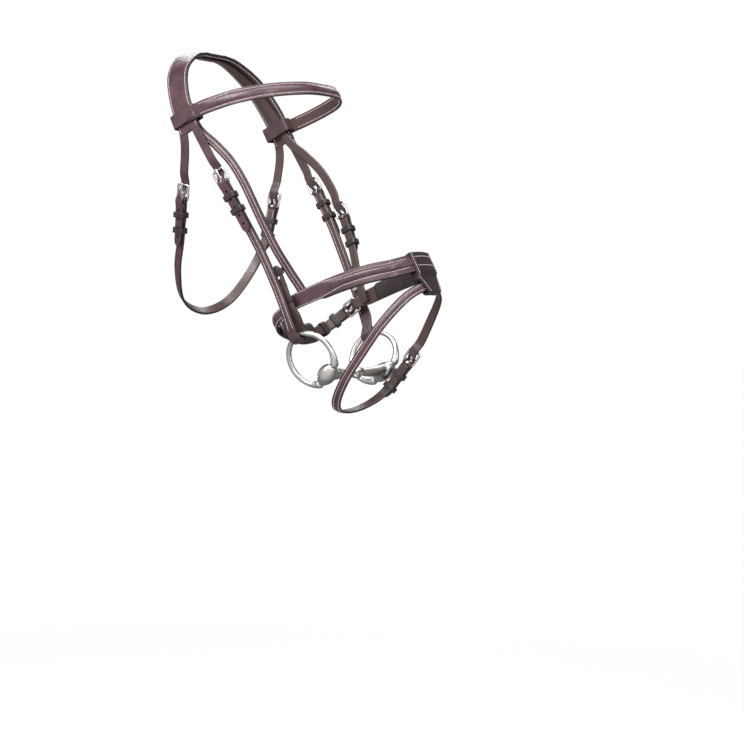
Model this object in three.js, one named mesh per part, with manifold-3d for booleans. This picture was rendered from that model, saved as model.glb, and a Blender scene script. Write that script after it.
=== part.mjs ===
// A cob-size snaffle bridle with a flash noseband and a jointed eggbutt snaffle.
// Millimetres, +Z up. The horse faces -Y and its left (near) side is +X.
// The origin is under the straps at the poll, where the bridle hangs on the head.
import * as THREE from 'three';
import { mergeVertices } from 'three/addons/utils/BufferGeometryUtils.js';
import Module from 'manifold-3d';

const wasm = await Module();
wasm.setup();

// ---- Driving dimensions ----
const NOSE_ANGLE = THREE.MathUtils.degToRad(22); // nose line behind the vertical
const STEP = 12; // longest stretch between two sections of a strap
const STRAP = 3; // thickness of a sewn strap
const BILLET = 2.6; // thickness of a strap that goes through a buckle
const CROWN = { width: 30, thickness: 4 };
const CHEEK_WIDTH = 12;
const THROAT_WIDTH = 12;
const HANGER_WIDTH = 11.5;
const CHIN_WIDTH = 13;
const FLASH_WIDTH = 12;
const BROWBAND_WIDTH = 18;
const NOSE_WIDTH = { front: 22, cheek: 19 };
const LAYER_GAP = 0.4; // air between two straps that lie on each other

// A buckle lies in its own frame: the bar at x = 0, the far bar towards +x, +z away from the head.
const BUCKLE = { reach: 18, wire: 1.5, spare: 1.5, corner: 3 };
const EYE = { inner: 1.8, outer: 3.8, tail: 26, thickness: 5 }; // strap end sewn round the bar
const TONGUE = { wire: 1.05, eyeInner: 1.75, eyeOuter: 2.8, eyeWidth: 3.4, height: 2.85 };
const TONGUE_SLOT = { from: 0.2, to: 10.2, width: 4.6 };
const OVER = 4.6; // lift of a billet that lies on the sewn end
const BILLET_RISE = [[30, 0], [22, -3.7], [15, -3.7], [0, 6.9], [-8, 5], [-14, OVER], [-80, OVER]];
const KEEPER = { length: 7, wall: 1.4, room: 0.9 };

const RING = { x: 70, y: -205.6, z: -375.3, radius: 32, wire: 3.3, tilt: 17.1, flat: 35, butt: 135 };
const BARREL = { middle: 11, end: 4.8, bore: 2.7, half: 15.2, pin: 2.1 };
const LINK = { radius: 6.5, wire: 2.5 };
const RING_LOOP = { inner: 5.6, outer: 8.6, half: 8.5, forward: 1.5 };

// ---- Materials ----
const LOOK = {
  leather: { color: 0x4a333a, roughness: 0.5, metalness: 0 },
  padding: { color: 0x3a2a2f, roughness: 0.7, metalness: 0 },
  steel: { color: 0xb9b7b2, roughness: 0.25, metalness: 1 },
};

const bridle = new THREE.Group();

function add(name, look, geometry, matrix = new THREE.Matrix4()) {
  const mesh = new THREE.Mesh(geometry, new THREE.MeshStandardMaterial(LOOK[look]));
  mesh.name = name;
  matrix.decompose(mesh.position, mesh.quaternion, mesh.scale);
  bridle.add(mesh);
  return mesh;
}

// ---- Solids ----
function signedVolume(points, faces) {
  let volume = 0;
  for (const [a, b, c] of faces) {
    volume += points[a].dot(new THREE.Vector3().crossVectors(points[b], points[c]));
  }
  return volume / 6;
}

// A closed skin over sections that all have the same number of points.
function skin(rings, closed = false) {
  const sides = rings[0].length;
  const points = rings.flat();
  const faces = [];
  const spans = closed ? rings.length : rings.length - 1;
  for (let ring = 0; ring < spans; ring += 1) {
    const here = ring * sides;
    const next = ((ring + 1) % rings.length) * sides;
    for (let side = 0; side < sides; side += 1) {
      const turn = (side + 1) % sides;
      faces.push([here + side, here + turn, next + turn]);
      faces.push([here + side, next + turn, next + side]);
    }
  }
  if (!closed) {
    const last = points.length - sides;
    for (let side = 1; side < sides - 1; side += 1) {
      faces.push([0, side + 1, side]);
      faces.push([last, last + side, last + side + 1]);
    }
  }
  const outward = signedVolume(points, faces) > 0;
  const order = outward ? faces : faces.map(([a, b, c]) => [a, c, b]);
  const geometry = new THREE.BufferGeometry();
  geometry.setAttribute('position', new THREE.Float32BufferAttribute(points.flatMap((p) => p.toArray()), 3));
  geometry.setIndex(order.flat());
  return geometry;
}

function toSolid(geometry) {
  const bare = new THREE.BufferGeometry();
  bare.setAttribute('position', geometry.getAttribute('position').clone());
  if (geometry.index) bare.setIndex(geometry.index.clone());
  const merged = mergeVertices(bare, 1e-4);
  const vertProperties = new Float32Array(merged.getAttribute('position').array);
  const triVerts = new Uint32Array(merged.index.array);
  return new wasm.Manifold(new wasm.Mesh({ numProp: 3, vertProperties, triVerts }));
}

function toGeometry(solid) {
  const mesh = solid.getMesh();
  const geometry = new THREE.BufferGeometry();
  geometry.setAttribute('position', new THREE.Float32BufferAttribute(Array.from(mesh.vertProperties), 3));
  geometry.setIndex(Array.from(mesh.triVerts));
  return geometry;
}

function joined(...geometries) {
  const solids = geometries.map(toSolid);
  return toGeometry(solids.reduce((sum, solid) => sum.add(solid)));
}

function cut(geometry, ...tools) {
  const solids = tools.map(toSolid);
  return toGeometry(solids.reduce((rest, solid) => rest.subtract(solid), toSolid(geometry)));
}

function box([x0, x1], [y0, y1], [z0, z1]) {
  const geometry = new THREE.BoxGeometry(x1 - x0, y1 - y0, z1 - z0);
  return geometry.translate((x0 + x1) / 2, (y0 + y1) / 2, (z0 + z1) / 2);
}

// A tube about the y axis.
function sleeve(inner, outer, half, sides = 16) {
  const corners = [[inner, -half], [outer, -half], [outer, half], [inner, half], [inner, -half]];
  return new THREE.LatheGeometry(corners.map(([x, y]) => new THREE.Vector2(x, y)), sides);
}

// Round wire along a closed path in the xy plane; stops are [x, y, wire radius].
function wireLoop(stops, sides = 8) {
  const rings = stops.map(([x, y, wire], index) => {
    const [xa, ya] = stops[(index + stops.length - 1) % stops.length];
    const [xb, yb] = stops[(index + 1) % stops.length];
    const normal = new THREE.Vector3(yb - ya, xa - xb, 0).normalize();
    return Array.from({ length: sides }, (_, side) => {
      const angle = (side * 2 * Math.PI) / sides;
      const point = new THREE.Vector3(x, y, wire * Math.sin(angle));
      return point.addScaledVector(normal, wire * Math.cos(angle));
    });
  });
  return skin(rings, true);
}

// ---- The head: places and directions as left, front and up along the nose line ----
function onHead(left, front, up) {
  const cos = Math.cos(NOSE_ANGLE);
  const sin = Math.sin(NOSE_ANGLE);
  return new THREE.Vector3(left, up * sin - front * cos, front * sin + up * cos);
}

const ROW_UP = [0, Math.sin(NOSE_ANGLE), Math.cos(NOSE_ANGLE)];

// The line of a strap: stations of [place, direction away from the head].
class StrapLine {
  constructor(stations, closed = false) {
    const places = stations.map(([place]) => onHead(...place));
    const away = stations.map(([, direction]) => onHead(...direction).normalize());
    this.centre = new THREE.CatmullRomCurve3(places, closed, 'catmullrom', 0.5);
    this.away = new THREE.CatmullRomCurve3(away, closed, 'catmullrom', 0.5);
    this.closed = closed;
    this.length = this.centre.getLength();
  }

  at(distance) {
    const share = distance / this.length;
    const held = this.closed ? share - Math.floor(share) : THREE.MathUtils.clamp(share, 0, 1);
    const t = this.centre.getUtoTmapping(held);
    const along = this.centre.getTangent(t);
    const out = this.away.getPoint(t);
    out.addScaledVector(along, -out.dot(along)).normalize();
    const across = new THREE.Vector3().crossVectors(out, along);
    return { point: this.centre.getPoint(t), along, out, across };
  }

  // The frame at a distance, with x along the line (direction 1) or against it (-1).
  frame(distance, direction = 1) {
    const { point, along, out } = this.at(distance);
    const x = along.multiplyScalar(direction);
    const y = new THREE.Vector3().crossVectors(out, x);
    return new THREE.Matrix4().makeBasis(x, y, out).setPosition(point);
  }

  // The distance along the line at which it passes closest to a place on the head.
  near(...place) {
    const target = onHead(...place);
    let best = 0;
    let gap = Infinity;
    for (let distance = 0; distance <= this.length; distance += 1) {
      const here = this.at(distance).point.distanceTo(target);
      if (here < gap) {
        gap = here;
        best = distance;
      }
    }
    return best;
  }
}

function mirrored(stations) {
  return stations.map((station) => station.map(([left, front, up]) => [-left, front, up]));
}

// A line across the head from its right end to its left end, given from the middle outwards.
function acrossHead(stations) {
  const other = mirrored(stations).reverse();
  return other.concat(stations[0][0][0] === 0 ? stations.slice(1) : stations);
}

// A closed line, given from the front middle round the left side to the rear middle.
function roundHead(stations) {
  return stations.concat(mirrored(stations).slice(1, -1).reverse());
}

// A measure that is one number, or changes evenly between stops of [distance, value].
function measure(value, distance) {
  if (!Array.isArray(value)) return value;
  const after = value.findIndex(([stop]) => stop >= distance);
  if (after === -1) return value[value.length - 1][1];
  if (after === 0) return value[0][1];
  const [d0, v0] = value[after - 1];
  const [d1, v1] = value[after];
  return v0 + ((v1 - v0) * (distance - d0)) / (d1 - d0);
}

function sectionStops(from, to, measures) {
  const marks = [from, to];
  for (const value of measures) {
    if (Array.isArray(value)) marks.push(...value.map(([stop]) => stop));
  }
  const kept = marks.filter((mark) => mark >= from && mark <= to).sort((a, b) => a - b);
  const stops = [from];
  for (const mark of kept) {
    const last = stops[stops.length - 1];
    const parts = Math.ceil((mark - last) / STEP - 1e-6);
    if (mark - last < 0.5) continue;
    for (let part = 1; part <= parts; part += 1) stops.push(last + ((mark - last) * part) / parts);
  }
  return stops;
}

// A flat strap on a line: lift moves it away from the head, shift moves it across the line.
function strap(line, from, to, { width, thickness, lift = 0, shift = 0 }) {
  const rings = sectionStops(from, to, [width, lift, shift]).map((distance) => {
    const { point, out, across } = line.at(distance);
    const half = measure(width, distance) / 2;
    const middle = measure(lift, distance);
    const side = measure(shift, distance);
    const corners = [[-half, -1], [half, -1], [half, 1], [-half, 1]];
    return corners.map(([y, z]) => point.clone()
      .addScaledVector(across, side + y)
      .addScaledVector(out, middle + (z * thickness) / 2));
  });
  return skin(rings);
}

// ---- Buckles ----
// The lift of a billet along a line, going through the buckle whose bar is at the given distance.
function billetLift(bar, direction) {
  const stops = BILLET_RISE.map(([x, lift]) => [bar + direction * x, lift]);
  return stops.sort(([a], [b]) => a - b);
}

function slotted(billet, line, bar, direction) {
  const half = TONGUE_SLOT.width / 2;
  const slot = box([TONGUE_SLOT.from, TONGUE_SLOT.to], [-half, half], [-9, 14]);
  return cut(billet, slot.applyMatrix4(line.frame(bar, direction)));
}

// A strap end sewn round the buckle's bar, with the slit that the tongue turns in.
function withEye(body, line, bar, direction, width) {
  const sewn = [bar - direction * 2.6, bar - direction * EYE.tail].sort((a, b) => a - b);
  const tail = strap(line, sewn[0], sewn[1], { width, thickness: EYE.thickness });
  const frame = line.frame(bar, direction);
  const eye = sleeve(EYE.inner, EYE.outer, width / 2, 12).applyMatrix4(frame);
  const slit = box([-4.6, 5], [-2.4, 2.4], [-6, 6]).applyMatrix4(frame);
  return cut(joined(body, tail, eye), slit);
}

function keeper(name, line, distance, size) {
  const { width, low, high, shift, wall, room } = { ...KEEPER, shift: 0, ...size };
  const half = width / 2 + room;
  const end = KEEPER.length / 2;
  const bottom = low - room;
  const top = high + room;
  const outer = box([-end, end], [shift - half - wall, shift + half + wall], [bottom - wall, top + wall]);
  const inner = box([-end - 1, end + 1], [shift - half, shift + half], [bottom, top]);
  return add(name, 'leather', cut(outer, inner), line.frame(distance));
}

function buckleFrame(width) {
  const half = width / 2 + BUCKLE.spare / 2 + BUCKLE.wire;
  const { reach, corner, wire } = BUCKLE;
  const stops = [];
  const centres = [[corner, half - corner, 180], [corner, corner - half, 270],
    [reach - corner, corner - half, 0], [reach - corner, half - corner, 90]];
  for (const [x, y, start] of centres) {
    for (const turn of [0, 45, 90]) {
      const angle = THREE.MathUtils.degToRad(start + turn - 90);
      stops.push([x + corner * Math.cos(angle), y + corner * Math.sin(angle), wire]);
    }
  }
  return wireLoop(stops);
}

function tongue() {
  const eye = sleeve(TONGUE.eyeInner, TONGUE.eyeOuter, TONGUE.eyeWidth / 2, 10);
  const route = [[0.4, 2.3], [3, TONGUE.height - 0.1], [BUCKLE.reach + 2, TONGUE.height]];
  const rings = route.map(([x, z], index) => Array.from({ length: 8 }, (_, side) => {
    const angle = (side * Math.PI) / 4;
    const wire = index === 0 ? 0.5 : TONGUE.wire;
    return new THREE.Vector3(x, wire * Math.cos(angle), z + wire * Math.sin(angle));
  }));
  return joined(eye, skin(rings));
}

// The loose pieces of a buckle: frame, tongue, fixed keeper and sliding runner.
function buckle(prefix, line, bar, direction, width) {
  const frame = line.frame(bar, direction);
  add(`${prefix}_buckle_frame`, 'steel', buckleFrame(width), frame);
  add(`${prefix}_buckle_tongue`, 'steel', tongue(), frame);
  const high = OVER + BILLET / 2;
  const sewn = { width, low: -EYE.thickness / 2, high };
  keeper(`${prefix}_fixed_keeper`, line, bar - direction * 19, sewn);
  const loose = { width, low: -STRAP / 2, high };
  keeper(`${prefix}_runner`, line, bar - direction * 38, loose);
}

// ---- Lines of the straps ----
const POLL = [
  [[12, 0, 0], ROW_UP],
  [[22, 0, 0], ROW_UP],
  [[45, 1, -7], [0.35, 0.33, 0.87]],
  [[75, 3, -32], [0.8, 0.15, 0.6]],
  [[92, 6, -70], [0.98, 0, 0.15]],
  [[96, 9, -112], [1, 0, 0.03]],
];
const HANGER = [
  ...POLL.slice(0, 4),
  [[91, 9, -70], [0.98, 0, 0.15]],
  [[94, 18, -112], [1, 0, 0.02]],
  [[95, 34, -140], [1, 0, 0]],
  [[96, 48, -168], [1, 0, 0]],
  [[96, 56, -200], [1, 0, 0]],
  [[94, 60, -240], [1, 0.05, -0.05]],
  [[86.4, 62, -284], [1, 0.05, -0.15]],
  [[73.8, 63.5, -318], [0.95, 0.1, -0.3]],
  [[66.9, 65.5, -338], [0.97, 0.15, -0.25]],
  [[64.8, 66, -348], [1, 0.18, 0]],
  [[64.8, 66, -358], [1, 0.18, 0]],
];
const CHEEK = [
  [[101.4, 15.5, -96], [1, 0, 0.02]],
  [[101.6, 20, -125], [1, 0, 0]],
  [[101, 26.5, -162], [1, 0, -0.02]],
  [[99.5, 33, -200], [1, 0, -0.06]],
  [[95.5, 38.5, -240], [1, 0, -0.1]],
  [[90.5, 43, -281], [1, 0, -0.1]],
  [[87.5, 45.5, -320], [1, 0, -0.05]],
  [[86, 46.5, -353], [1, 0, -0.02]],
  [[85.6, 46, -394.3], [1, -0.12, 0]],
];
const THROAT = [
  [[0, -126, -292], [0, -1, -0.4]],
  [[48, -117, -281], [0.45, -0.9, -0.3]],
  [[77, -90, -252], [0.85, -0.5, -0.2]],
  [[89, -62, -221], [1, -0.2, 0]],
  [[94.5, -42, -189], [1, -0.1, 0]],
  [[98.5, -22, -155], [1, 0, 0]],
  [[101, -6, -125], [1, 0, 0]],
  [[101.4, 1, -98], [1, 0, 0.02]],
];
const BROW = [
  [[0, 148, -112], [0, 1, 0.2]],
  [[36, 142, -110], [0.3, 1, 0.15]],
  [[72, 118, -105], [0.75, 0.66, 0.1]],
  [[94, 84, -99], [0.93, 0.4, 0.05]],
  [[103, 50, -95], [1, 0.12, 0]],
  [[104.6, 27, -93], [1, 0, 0]],
  [[104.6, 10, -92], [1, 0, 0]],
];
const NOSE = [
  [[0, 197, -360.5], [0, 1, 0.1]],
  [[24, 193.5, -361], [0.3, 1, 0.1]],
  [[45, 179, -361.5], [0.72, 0.7, 0.08]],
  [[58, 150, -357], [0.94, 0.35, 0.05]],
  [[66, 110, -354], [0.98, 0.18, 0]],
  [[71, 61, -353], [1, 0.05, 0]],
  [[71.5, 38, -356], [1, -0.1, 0]],
  [[67, 18, -361.5], [0.9, -0.4, -0.05]],
  [[48, 4, -370], [0.4, -0.92, -0.1]],
  [[0, -4, -376], [0, -1, -0.1]],
];
const FLASH = [
  [[0, 196, -390.5], [0, 1, 0.1]],
  [[18, 194.2, -391.5], [0.2, 1, 0.1]],
  [[40, 180, -400], [0.68, 0.73, 0.1]],
  [[55, 150, -418], [0.93, 0.35, 0.1]],
  [[62, 117, -440], [1, 0.1, 0]],
  [[60, 81, -461], [1, -0.05, -0.1]],
  [[50, 54, -477], [0.85, -0.3, -0.5]],
  [[28, 36, -485], [0.4, -0.5, -0.8]],
  [[0, 29, -487], [0, -0.55, -0.85]],
];

const pollLine = new StrapLine(acrossHead(POLL));
const hangerLine = new StrapLine(acrossHead(HANGER));
const throatLine = new StrapLine(acrossHead(THROAT));
const browLine = new StrapLine(acrossHead(BROW));
const noseLine = new StrapLine(roundHead(NOSE), true);
const flashLine = new StrapLine(roundHead(FLASH), true);
const SIDES = [
  { name: 'left', sign: 1, cheek: new StrapLine(CHEEK) },
  { name: 'right', sign: -1, cheek: new StrapLine(mirrored(CHEEK)) },
];

// ---- Headpiece, browband and throatlash ----
const CROWN_LIFT = STRAP + LAYER_GAP + CROWN.thickness / 2;
const CHEEK_TIP = 68; // billet beyond the buckle's bar
const THROAT_TIP = 58;
const CHEEK_BAR = SIDES[0].cheek.near(100, 31, -190);
const THROAT_BAR = throatLine.near(-95.5, -37, -181);

function headpiece() {
  const crown = strap(pollLine, 0, pollLine.length, { ...CROWN, lift: CROWN_LIFT });
  const billets = SIDES.map(({ cheek }) => {
    const size = { width: CHEEK_WIDTH - 0.5, thickness: BILLET, lift: billetLift(CHEEK_BAR, -1) };
    return slotted(strap(cheek, 0, CHEEK_BAR + CHEEK_TIP, size), cheek, CHEEK_BAR, -1);
  });
  for (const direction of [-1, 1]) {
    const bar = direction < 0 ? THROAT_BAR : throatLine.length - THROAT_BAR;
    const lift = billetLift(bar, direction);
    const size = { width: THROAT_WIDTH, thickness: BILLET, lift };
    const ends = [bar - direction * THROAT_TIP, direction < 0 ? 0 : throatLine.length];
    ends.sort((a, b) => a - b);
    billets.push(slotted(strap(throatLine, ends[0], ends[1], size), throatLine, bar, direction));
  }
  return joined(crown, ...billets);
}

add('headpiece', 'leather', headpiece());

function throatlash() {
  const from = THROAT_BAR + 10;
  const to = throatLine.length - THROAT_BAR - 10;
  let body = strap(throatLine, from, to, { width: THROAT_WIDTH, thickness: STRAP });
  body = withEye(body, throatLine, THROAT_BAR, -1, THROAT_WIDTH);
  return withEye(body, throatLine, throatLine.length - THROAT_BAR, 1, THROAT_WIDTH);
}

add('throatlash', 'leather', throatlash());
buckle('right_throat', throatLine, THROAT_BAR, -1, THROAT_WIDTH);
buckle('left_throat', throatLine, throatLine.length - THROAT_BAR, 1, THROAT_WIDTH);

const BROW_LOOP = { half: BROWBAND_WIDTH / 2, side: 16.4, low: -4.2, high: 9.2, wall: 2.2 };

function browband() {
  const { half, side, low, high, wall } = BROW_LOOP;
  const band = strap(browLine, 0, browLine.length, { width: BROWBAND_WIDTH, thickness: STRAP });
  const loops = [];
  const holes = [];
  for (const left of [-94, 94]) {
    const frame = pollLine.frame(pollLine.near(left, 7.6, -92));
    const across = [-side - wall, side + wall];
    loops.push(box([-half, half], across, [low - wall, high + wall]).applyMatrix4(frame));
    holes.push(box([-half - 3, half + 3], [-side, side], [low, high]).applyMatrix4(frame));
  }
  return cut(joined(band, ...loops), ...holes);
}

add('browband', 'leather', browband());

// ---- Cheekpieces ----
const FOLD_GAP = RING_LOOP.inner + RING_LOOP.outer; // between the two legs at the ring
const RETURN = { tip: 88, drift: 7, bulge: 8, lift: -4.6 }; // the returned billet lies behind the strap
const BIT_KEEPERS = [['upper', 79, 6.5], ['lower', 44, 4.8]]; // name, distance from the fold, drift
const STUD = { fromFold: 62, drift: 5.5, head: 4.4, neck: 1.8, height: 1.5 };

for (const { name, sign, cheek } of SIDES) {
  const end = cheek.length;
  const tip = end - RETURN.tip;
  const forward = -sign;
  const fold = cheek.at(end);
  const hub = fold.point.clone().addScaledVector(fold.out, -FOLD_GAP / 2);
  hub.addScaledVector(fold.across, forward * RING_LOOP.forward);
  const round = sleeve(RING_LOOP.inner, RING_LOOP.outer, RING_LOOP.half, 20);
  round.applyMatrix4(cheek.frame(end).setPosition(hub));
  const main = strap(cheek, CHEEK_BAR + 10, end, {
    width: [[end - 24, CHEEK_WIDTH], [end, CHEEK_WIDTH + 2]],
    thickness: STRAP,
  });
  const back = strap(cheek, tip, end, {
    width: [[end - 22, CHEEK_WIDTH], [end - 6, CHEEK_WIDTH + 3]],
    thickness: BILLET,
    lift: [[end - 34, RETURN.lift], [end - 14, -9.5], [end, -FOLD_GAP - 0.2]],
    shift: [
      [tip, forward * RETURN.drift], [end - 44, forward * 4.8], [end - 22, forward * RETURN.bulge],
      [end - 8, forward * 4.5], [end, forward * RING_LOOP.forward],
    ],
  });
  const body = joined(main, back, round);
  add(`${name}_cheekpiece`, 'leather', withEye(body, cheek, CHEEK_BAR, -1, CHEEK_WIDTH));
  buckle(`${name}_cheek`, cheek, CHEEK_BAR, -1, CHEEK_WIDTH);
  const held = { low: RETURN.lift - BILLET / 2, high: RETURN.lift + BILLET / 2, wall: 1.1, room: 0.3 };
  for (const [place, fromFold, drift] of BIT_KEEPERS) {
    const size = { ...held, width: CHEEK_WIDTH + 1.4, shift: forward * drift };
    keeper(`${name}_bit_keeper_${place}`, cheek, end - fromFold, size);
  }
  const { head, neck } = STUD;
  const profile = [[0, -1.8], [head, -1.8], [head, -0.6], [neck, 0.2], [neck, 1.2], [0, 1.2]];
  const stud = new THREE.LatheGeometry(profile.map(([x, y]) => new THREE.Vector2(x, y)), 12);
  stud.rotateX(Math.PI / 2).translate(0, forward * STUD.drift, held.low - STUD.height);
  add(`${name}_hook_stud`, 'steel', stud, cheek.frame(end - STUD.fromFold));
}

// ---- Noseband: headstrap, nosepiece, chin strap and pads ----
const HANGER_BAR = hangerLine.near(94, 60, -237);
const HANGER_TIP = 50;
const POLL_FLAT = { from: -8, to: 4 }; // one flat stretch of the underside at the poll

function headstrap() {
  const size = { width: HANGER_WIDTH, thickness: BILLET, lift: [] };
  const rise = billetLift(HANGER_BAR, -1);
  const flat = [POLL_FLAT.from, POLL_FLAT.to].map((place) => [hangerLine.length / 2 + place, BILLET / 2]);
  size.lift = [[0, BILLET / 2], ...flat, [rise[0][0] - 60, BILLET / 2], ...rise];
  const body = strap(hangerLine, 0, HANGER_BAR + HANGER_TIP, size);
  return slotted(body, hangerLine, HANGER_BAR, -1);
}

add('noseband_headstrap', 'leather', headstrap());

const lowerHanger = strap(hangerLine, HANGER_BAR + 10, hangerLine.length, {
  width: HANGER_WIDTH,
  thickness: STRAP,
  lift: [[HANGER_BAR + 60, 0], [hangerLine.length, BILLET / 2]],
});
const hangerCheek = withEye(lowerHanger, hangerLine, HANGER_BAR, -1, HANGER_WIDTH);
add('noseband_headstrap_cheek', 'leather', hangerCheek);
buckle('headstrap', hangerLine, HANGER_BAR, -1, HANGER_WIDTH);

const CHEEK_CROSSING = noseLine.near(71, 61, -353);
const CHIN_BAR = noseLine.near(71.2, 33, -357);
const CHIN_TIP = 52;
const NOSE_END = CHEEK_CROSSING + 26; // right end, measured from the front

const nosepiece = strap(noseLine, -NOSE_END, CHIN_BAR + CHIN_TIP, {
  width: [
    [-NOSE_END, 16], [-CHEEK_CROSSING, NOSE_WIDTH.cheek], [-70, NOSE_WIDTH.front],
    [70, NOSE_WIDTH.front], [CHEEK_CROSSING - 10, NOSE_WIDTH.cheek],
    [CHEEK_CROSSING + 8, CHIN_WIDTH], [CHIN_BAR + CHIN_TIP, CHIN_WIDTH],
  ],
  thickness: BILLET,
  lift: billetLift(CHIN_BAR, -1),
});
add('nosepiece_strap', 'leather', slotted(nosepiece, noseLine, CHIN_BAR, -1));

const PAD_FROM = CHEEK_CROSSING - 26;
const NOSE_PAD = { width: 21, thickness: 6, lift: -BILLET / 2 - 2 * LAYER_GAP - 3 };
add('nosepiece_padding', 'padding', strap(noseLine, -PAD_FROM, PAD_FROM, NOSE_PAD));

const chinEnd = noseLine.length - CHEEK_CROSSING - 4;
const chinBody = strap(noseLine, CHIN_BAR + 10, chinEnd, {
  width: CHIN_WIDTH,
  thickness: STRAP,
  lift: [[chinEnd - 38, 0], [chinEnd - 28, -3.5], [chinEnd, -3.5]],
});
add('chin_strap', 'leather', withEye(chinBody, noseLine, CHIN_BAR, -1, CHIN_WIDTH));
buckle('chin', noseLine, CHIN_BAR, -1, CHIN_WIDTH);

const chinPad = { width: 27, thickness: 8, lift: -STRAP / 2 - LAYER_GAP - 4 };
const padEnds = [noseLine.near(31, 0, -373), noseLine.near(-50, 6, -369)];
add('chin_pad', 'padding', strap(noseLine, padEnds[0], padEnds[1], chinPad));

// ---- Flash loop and flash strap ----
const TAB = { half: 22, shoulderHalf: 19, shoulder: 22, lowerHalf: 13, wall: 1.9, drop: 30 };

function flashLoop() {
  const side = NOSE_WIDTH.front / 2 + 0.6;
  const inner = { low: -8.7, high: 1.8 };
  const slot = { low: -7.7, high: -0.7, half: 7.6 };
  const block = (half, low, high, top, bottom) => strap(noseLine, -half, half, {
    width: top - bottom,
    thickness: high - low,
    lift: (high + low) / 2,
    shift: (top + bottom) / 2,
  });
  const { wall, drop } = TAB;
  const skirt = (half, bottom) => block(half, slot.low - wall, slot.high + wall, -side, bottom);
  const upper = block(TAB.half, inner.low - wall, inner.high + wall, side + wall, -side - wall);
  const shoulder = skirt(TAB.shoulderHalf, -TAB.shoulder);
  const lower = skirt(TAB.lowerHalf, -drop - slot.half - wall);
  const noseHole = block(TAB.half + 6, inner.low, inner.high, side, -side);
  const strapHole = block(TAB.lowerHalf + 6, slot.low, slot.high, slot.half - drop, -slot.half - drop);
  return cut(joined(upper, shoulder, lower), noseHole, strapHole);
}

add('flash_loop', 'leather', flashLoop());

const FLASH_BAR = flashLine.near(61.5, 98, -451);
const FLASH_TIP = 52;
const flashTurn = flashLine.length + FLASH_BAR;
const flashBody = strap(flashLine, FLASH_BAR + 10, flashTurn + FLASH_TIP, {
  width: FLASH_WIDTH,
  thickness: BILLET,
  lift: billetLift(flashTurn, -1),
});
const flashSlotted = slotted(flashBody, flashLine, FLASH_BAR, -1);
add('flash_strap', 'leather', withEye(flashSlotted, flashLine, FLASH_BAR, -1, FLASH_WIDTH));
buckle('flash', flashLine, FLASH_BAR, -1, FLASH_WIDTH);

// ---- Bit: eggbutt rings and two jointed cannons ----
function ringPlace(sign) {
  const tilt = THREE.MathUtils.degToRad(RING.tilt);
  const up = new THREE.Vector3(sign * Math.sin(tilt), 0, Math.cos(tilt));
  const front = new THREE.Vector3(0, -1, 0);
  const normal = new THREE.Vector3().crossVectors(up, front);
  return new THREE.Matrix4().makeBasis(up, front, normal).setPosition(sign * RING.x, RING.y, RING.z);
}

function ring() {
  const stops = [];
  const start = RING.butt + RING.flat;
  const sweep = 360 - 2 * RING.flat;
  const count = 24;
  for (let stop = 0; stop <= count; stop += 1) {
    const angle = THREE.MathUtils.degToRad(start + (sweep * stop) / count);
    const fromEnd = Math.min(stop, count - stop);
    const wire = [5, 4.6, 3.8][fromEnd] ?? RING.wire;
    stops.push([RING.radius * Math.cos(angle), RING.radius * Math.sin(angle), wire]);
  }
  const butt = THREE.MathUtils.degToRad(RING.butt);
  const chord = RING.radius * Math.cos(THREE.MathUtils.degToRad(RING.flat));
  const lug = BARREL.half + 0.6;
  for (const [along, wire] of [[-lug - 0.4, 4.6], [-lug, BARREL.pin], [lug, BARREL.pin], [lug + 0.4, 4.6]]) {
    const x = chord * Math.cos(butt) - along * Math.sin(butt);
    const y = chord * Math.sin(butt) + along * Math.cos(butt);
    stops.push([x, y, wire]);
  }
  return wireLoop(stops);
}

// One half of the mouthpiece: the egg-shaped barrel about y at the origin and the cannon inwards.
function cannon(reach, lean, eyeTurn) {
  const middle = (x) => x * Math.tan(lean);
  const bar = [[0, 11, 6.4], [9, 10.4, 6.8], [16, 8, 6.8], [24, 6.8, 6.4], [40, 5.4, 5.4],
    [reach - 14, 4.4, 4.4], [reach - 8, 3.4, 3.4]];
  const rod = skin(bar.map(([x, halfY, halfZ]) => Array.from({ length: 10 }, (_, side) => {
    const angle = (side * Math.PI) / 5;
    return new THREE.Vector3(x, middle(x) + halfY * Math.cos(angle), halfZ * Math.sin(angle));
  })));
  const outline = [
    [0, -1], [BARREL.end, -1], [9.2, -0.5], [BARREL.middle, 0], [9.2, 0.5], [BARREL.end, 1], [0, 1],
  ];
  const egg = outline.map(([radius, share]) => new THREE.Vector2(radius, share * BARREL.half));
  const barrel = new THREE.LatheGeometry(egg, 14);
  const eye = new THREE.TorusGeometry(LINK.radius, LINK.wire, 8, 14);
  const eyeX = reach - LINK.radius / 2;
  eye.rotateX(eyeTurn).rotateZ(lean).translate(eyeX, middle(eyeX), 0);
  const bore = new THREE.CylinderGeometry(BARREL.bore, BARREL.bore, 3 * BARREL.half, 12);
  return cut(joined(rod, barrel, eye), bore);
}

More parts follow.
